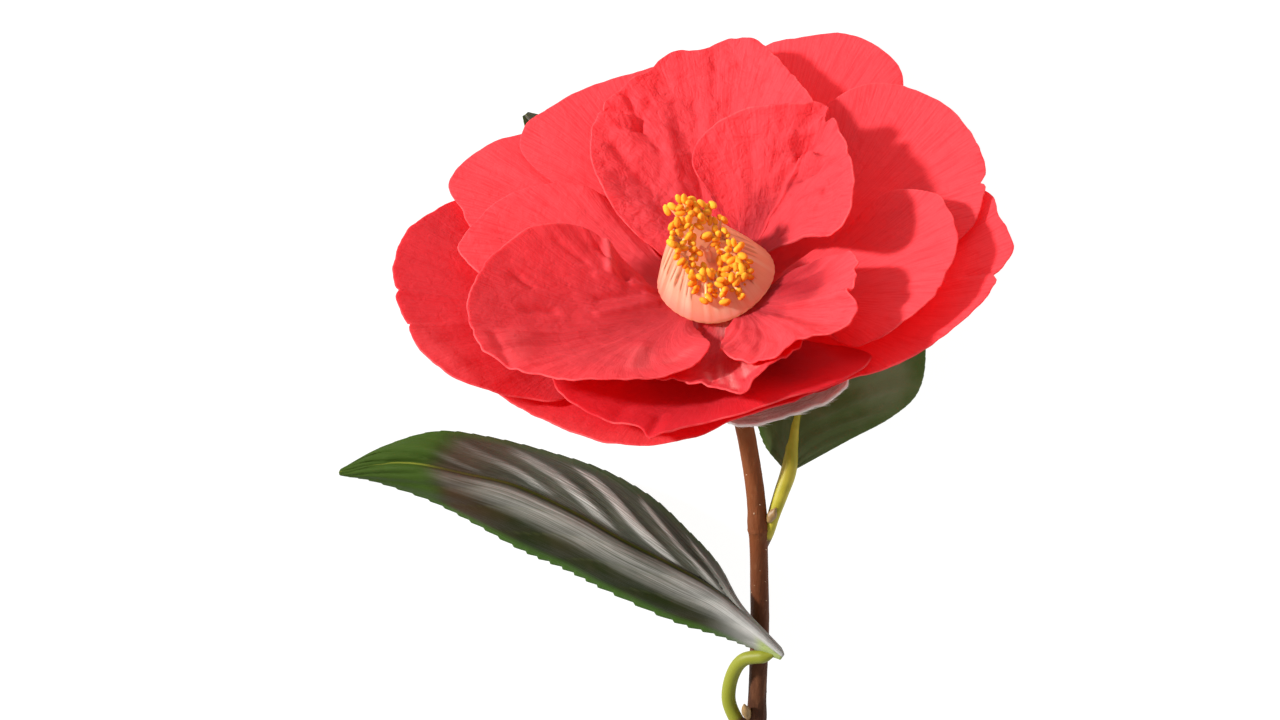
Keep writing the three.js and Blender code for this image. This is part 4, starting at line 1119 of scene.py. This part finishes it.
# Each leaf, in millimetres: root is its petiole's foot on the twig, petiole, midrib, far and near the lines
# of its stalk, its middle and its two margins. arch, quilt and fold are how high it bulges on each half,
# between its veins and beside the midrib, stalk its petiole's two radii, and saw its teeth's depth. rib is
# how plainly its midrib shows and rib_width how broad, greens and tip are its colours, and the far and
# near sheen how strongly a silvery sheen is painted into the colour of each half.
LEAVES = {
    "leaf_left": dict(
        root=[17.7, -61.6, 4.6],
        petiole=[[16.3, -60.6, 4.9], [14.9, -57, 6], [15.5, -52.8, 8], [17.4, -50, 10.4],
                 [21, -49.3, 12.3], [23, -48.6, 13.4]],
        midrib=[[24, -49, 14], [18, -43, 15], [12, -38, 15], [5, -34, 14.5], [-3, -30, 14],
                [-11, -25.5, 13], [-21, -21, 11], [-30, -19, 9], [-38, -17.5, 6.5], [-45, -17.7, 3.6],
                [-51, -19, 0.7]],
        far=[[23.6, -48, 13.8], [17, -41, 12.5], [13, -34, 10.5], [8, -28.5, 9], [2, -23, 8],
             [-6, -18.5, 7], [-15, -15.5, 6.5], [-25, -13, 6], [-34, -12, 5], [-43, -14.5, 2.8],
             [-50.8, -18.6, 0.7]],
        near=[[23.4, -49.9, 13], [18.6, -48, 11.5], [13, -46, 10], [5, -43.5, 8], [-6, -38.5, 6],
              [-13, -35, 4.6], [-20, -32, 3.4], [-28, -27.5, 2.4], [-36, -23.5, 1.8], [-45, -20.5, 1.3],
              [-50.9, -19.5, 0.6]],
        arch=(2.2, 3.2), quilt=0.55, fold=1.3, stalk=(1.2, 1.15), saw=0.6,
        rib=0.1, rib_width=0.035, greens=[(0.012, 0.017, 0.003), (0.026, 0.024, 0.009)],
        painted_far_sheen=0.95, painted_near_sheen=0.85, tip=0.8),
    "leaf_right": dict(
        root=[20.4, -31, 13.2],
        petiole=[[21.4, -28.6, 14.6], [22.2, -25.6, 15.8], [23.4, -22, 16.4], [24.7, -18, 16.1]],
        midrib=[[24.6, -18.5, 16.2], [25.4, -12, 16.4], [26.6, -6, 16], [28.4, 1, 14.8], [31, 8, 12.4],
                [34, 15, 8.6], [37, 21.5, 4.6], [39.6, 27, 0.7]],
        far=[[25.6, -18.2, 15.8], [34.6, -13.4, 13], [42, -9.6, 10], [46.6, -5.4, 8], [48, 1, 6.2],
             [47, 9.5, 4.2], [44.4, 18.5, 2.2], [40, 27.2, 0.6]],
        near=[[23.6, -17.9, 16], [20.4, -13.5, 14.8], [18.8, -6.5, 13.4], [19, 1, 12.2], [21.5, 9, 10],
              [26, 17, 7], [32.6, 23.5, 3.6], [39.2, 27.3, 0.6]],
        arch=(1.8, 1.6), quilt=0.3, fold=0.2, stalk=(0.85, 1.35), saw=0.22,
        # Its greens are painted lighter as painted light, since this blade faces away from the soft box.
        rib=1.0, rib_width=0.085, greens=[(0.085, 0.112, 0.032), (0.155, 0.172, 0.078)],
        painted_far_sheen=0.05, painted_near_sheen=0.04, tip=2.0),
    "leaf_back": dict(
        root=[14.9, -5.6, 22.4],
        petiole=[[13.3, -4.9, 22], [11.9, -1.8, 20.2], [10.6, 1.4, 18.4], [9.4, 4.6, 16.2]],
        midrib=[[10, 3.8, 16.8], [6.4, 9, 13.8], [2.6, 14.6, 11.2], [-1.4, 20.4, 9], [-6, 26.4, 7],
                [-10.6, 32, 5], [-15, 37, 2.9], [-19.4, 41.6, 0.7]],
        far=[[10.6, 4.4, 16.6], [11.6, 12, 12.6], [9.4, 19.4, 9.8], [6, 26, 7.8], [0.6, 32.6, 6],
             [-5.6, 37, 4.2], [-12.4, 40.2, 2.4], [-19, 42, 0.6]],
        near=[[9.2, 3.6, 16.6], [0.6, 4.6, 12.6], [-5.6, 9, 9.8], [-10, 15.6, 7.8], [-14, 22.8, 6],
              [-17, 30, 4], [-18.8, 36.4, 2.2], [-19.9, 41.3, 0.6]],
        arch=(1.4, 1.4), quilt=0.3, fold=0.2, stalk=(1.1, 1.1), saw=0.22,
        rib=0.9, rib_width=0.05, greens=[(0.016, 0.022, 0.005), (0.032, 0.03, 0.012)], painted_far_sheen=0.5,
        painted_near_sheen=0.5, tip=2.0),
}

stalk_finish = Finish("stalk_green", Roughness=0.5, Specular_IOR_Level=0.3)
dapple = stalk_finish.grain(stalk_finish.place(), scale=300, detail=3)
higher = stalk_finish.parts(stalk_finish.place())[1].ease(-0.038, -0.026)
stalk_finish.ground(dapple.ease(0.3, 0.7), STALK_GREEN, STALK_YELLOW)
# Painted shade: the lowest stalk, the left leaf's, is painted a darker green.
stalk_finish.cover(1 - higher, SHADED_LOW_STALK_GREEN)
stalk_finish.cover(1 - stalk_finish.trait("way").ease(1.6, 2.6), STALK_FOOT_BROWN)
stalk_finish.feed(Normal=stalk_finish.bump(dapple, 0.0001))


def leaf_finish(name, leaf):
    """Dark green with yellow-green ribs; a silvery sheen is painted in streaks along the quilting on each
    half.
    """
    finish = Finish(name + "_green", Roughness=0.45, Specular_IOR_Level=0.03)
    side, along = finish.own_map()
    out = finish.node("Math", {"operation": "ABSOLUTE"}, {0: side})
    rows = finish.trait("quilt")
    far_half = 1 - side.ease(-0.03, 0.0)
    by_vein, by_length = (finish.grain(way, scale=3, detail=4, roughness=0.6, distortion=0.3) for way in (
        finish.vector(rows * 1.1, side * 0.4, 0.5), finish.vector(side * 5, along * 1.6, 0.5)))
    brushed = by_length + far_half * (by_vein - by_length)
    fine = finish.grain(finish.vector(side * 30 + rows * far_half * 8, along * 2.5, 0.5),
                        scale=2, detail=3, roughness=0.6)
    patches = finish.grain(finish.place(), scale=90, detail=3, roughness=0.6)
    cells = finish.grain(finish.place(), scale=900)
    finish.ground(patches.ease(0.38, 0.68), leaf["greens"][0], leaf["greens"][1])
    before_tip = 1 - (along + patches * 0.05).ease(leaf["tip"] - 0.05, leaf["tip"] + 0.03)
    ridge_sheen = side.ease(0.02, 0.10) * (1 - (side + 0.25 * along + brushed * 0.4).ease(0.62, 0.92))
    crest = finish.trait("crest")
    streaks = (crest + brushed * 1.6 - 0.95).ease(0.2, 0.95) * (1 - 0.45 * along.ease(0.42, 0.72))
    # Painted sheen: silvery streaks over the far half, a band on the near half's ridge and a pale band at
    # the foot stand for the gloss catching the light.
    sheen = far_half * leaf["painted_far_sheen"] * (0.14 + 0.86 * streaks)
    sheen = sheen + ridge_sheen * leaf["painted_near_sheen"] * (0.45 + 0.55 * brushed.ease(0.3, 0.62))
    near_tip = (along + patches * 0.06).ease(leaf["tip"] - 0.20, leaf["tip"] - 0.05)
    brushing = 0.5 - 0.15 * far_half + (0.5 + 0.15 * far_half) * fine.ease(0.36, 0.62)
    sheen = sheen * before_tip * (1 - 0.7 * near_tip) * brushing
    finish.cover(near_tip * before_tip * 0.8, FLUSH_BROWN)
    foot = 1 - along.ease(0.05, 0.26)
    sheen = sheen + foot * leaf["painted_near_sheen"] * (0.55 + 0.25 * brushed) * (1 - sheen)
    painted_near_sheen = finish.blend(along.ease(0.04, 0.40), PAINTED_FOOT_SHEEN, PAINTED_NEAR_SHEEN)
    finish.cover(sheen, finish.blend(far_half, painted_near_sheen, PAINTED_FAR_SHEEN))
    margin = out.ease(0.80, 0.95) * 0.8
    finish.cover(margin * (1 - 0.6 * far_half) * (1 - 0.8 * foot), MARGIN_GREEN)
    finish.cover((1 - before_tip) * 0.85, TIP_GREEN)
    rib = 1 - out.ease(leaf["rib_width"] * 0.4, leaf["rib_width"])
    finish.cover(rib * (leaf["rib"] + 0.4 * (1 - before_tip)), RIB_GREEN)
    fold_back = (1 - along.ease(0.055, 0.095)) * side.ease(0.30, 0.5)
    finish.cover(fold_back * leaf["painted_near_sheen"], FOOT_GREEN)
    side_rib = finish.trait("vein").ease(0.5, 0.95) * 0.06
    finish.cover(side_rib, VEIN_GREEN)
    pale = finish.blend(cells, BACK_GREEN, BACK_PALE)
    finish.cover(finish.trait("back"), finish.blend(rib, pale, BACK_RIB))
    relief = fine * 0.6 + brushed + cells * 0.4
    finish.feed(Roughness=0.45 + 0.15 * sheen, Normal=finish.bump(relief, 0.00014))
    finish.let_through(0.10, LEAF_GLOW)
    return finish


def leaf_grid(leaf):
    """A blade's middle sheet and, at each point, its place across and along and its veins."""
    u = np.linspace(0, 1, BLADE_ROWS)
    close = np.array([0.0, 0.015, 0.04, 0.08, 0.13])
    inside = np.concatenate([close, np.linspace(0.18, 0.9, 13), [0.94, 0.97, 0.99, 1.0]])
    s = np.concatenate([-inside[:0:-1], inside])
    off, length_arc = np.abs(s), np.sin(math.pi * u)[:, None]
    curves = {name: smooth_curve(leaf[name], u)[:, None] for name in ("midrib", "far", "near")}
    margin = np.where((s < 0)[None, :, None], curves["far"], curves["near"])
    middle = curves["midrib"] + (margin - curves["midrib"]) * off[None, :, None]
    width = np.linalg.norm(margin - curves["midrib"], axis=-1)
    saw = (u * TEETH)[:, None] % 1.0
    teeth = leaf["saw"] * (saw - 0.5) * eased(off, 0.9, 1.0) * length_arc**0.5 * np.where(s < 0, 0.35, 1)
    middle = middle + (margin - curves["midrib"]) / (width[..., None] + 1e-6) * teeth[..., None]
    arch = np.where(s < 0, *leaf["arch"])
    lift = arch * np.sin(math.pi * off) * length_arc
    vein = (u[:, None] - 0.32 * off**1.05) * 8 + np.where(s < 0, 0.35, 0)
    vein = vein + 0.3 * soft_noise(u[:, None] * 5, s * 1.4, 0.5, seed=91)
    nearness = np.abs(vein - np.round(vein))
    fade = eased(off, 0.03, 0.2) * (1 - eased(off, 0.72, 0.96)) * length_arc**0.5
    valley = np.exp(-((nearness / 0.10) ** 2))
    bulge = 0.5 - 0.5 * np.cos(2 * math.pi * vein)
    crinkle = soft_noise(middle[..., 0] / 3, middle[..., 1] / 3, middle[..., 2] / 3, seed=90)
    lift = lift + leaf["quilt"] * fade * (bulge - 0.45 * valley - 0.3) + 0.10 * crinkle * fade
    lift = lift - 0.35 * np.exp(-((off * width / 0.7) ** 2)) * length_arc
    swell = np.where(s < 0, -leaf["fold"] * np.exp(-((s + 0.10) / 0.16) ** 2),
                     leaf["fold"] * np.exp(-((s - 0.16) / 0.15) ** 2)) * eased(off, 0, 0.06)
    lift = lift + swell * np.sin(math.pi * np.clip(u * 1.15, 0, 1))[:, None] ** 0.6
    middle = middle + np.array([0, 0, 1.0]) * lift[..., None]
    marks = np.stack(np.broadcast_arrays(s, u[:, None]), -1)
    return middle + SPRAY_PLACE, marks, vein, bulge * fade, valley * fade, width, u, s


for name, leaf in LEAVES.items():
    middle, marks, vein, bulge, valley, width, u, s = leaf_grid(leaf)
    border = np.minimum((1 - np.abs(s)) * width, np.minimum(u, 1 - u)[:, None] * 80)
    half = rounded(border, LEAF_THICKNESS / 2)
    keel = 0.55 * np.exp(-((np.abs(s) * width / 0.75) ** 2)) * np.sin(math.pi * u)[:, None] ** 0.5
    points, faces, both = shell(middle, half, half + keel * (border > 0.2))
    points[:, 2] = np.maximum(points[:, 2], 0.02)
    traits = {"quilt": both(vein), "crest": both(bulge), "vein": both(valley)}
    finish = leaf_finish(name, leaf)
    finished(name, points, faces, finish, name, both(marks), traits, len(faces) // 2)
    risen = (np.array(leaf["midrib"][1:4]) - [0, 0, 0.45]).tolist() if leaf["rib"] > 0.5 else []
    route = np.array([leaf["root"]] + leaf["petiole"] + risen)
    run = run_along(route)
    share = run[len(leaf["petiole"])] / run[-1]
    thin, thick = leaf["stalk"]

    def stalk_radius(t, turn):
        radius = thin + (thick - thin) * eased(t, 0, share)
        return radius * (1 - 0.8 * eased(t, 0.85 * share, 1)) - 0.1 * np.exp(-((turn - math.pi) / 0.7) ** 2)

    rows, way = tube(route + SPRAY_PLACE, stalk_radius, step=0.3, sides=STALK_SIDES)
    points, faces = closed_round(rows)
    length = np.append(np.repeat(way, STALK_SIDES), [0, way[-1]])
    finished(name + "_stalk", points, faces, stalk_finish, traits={"way": length})
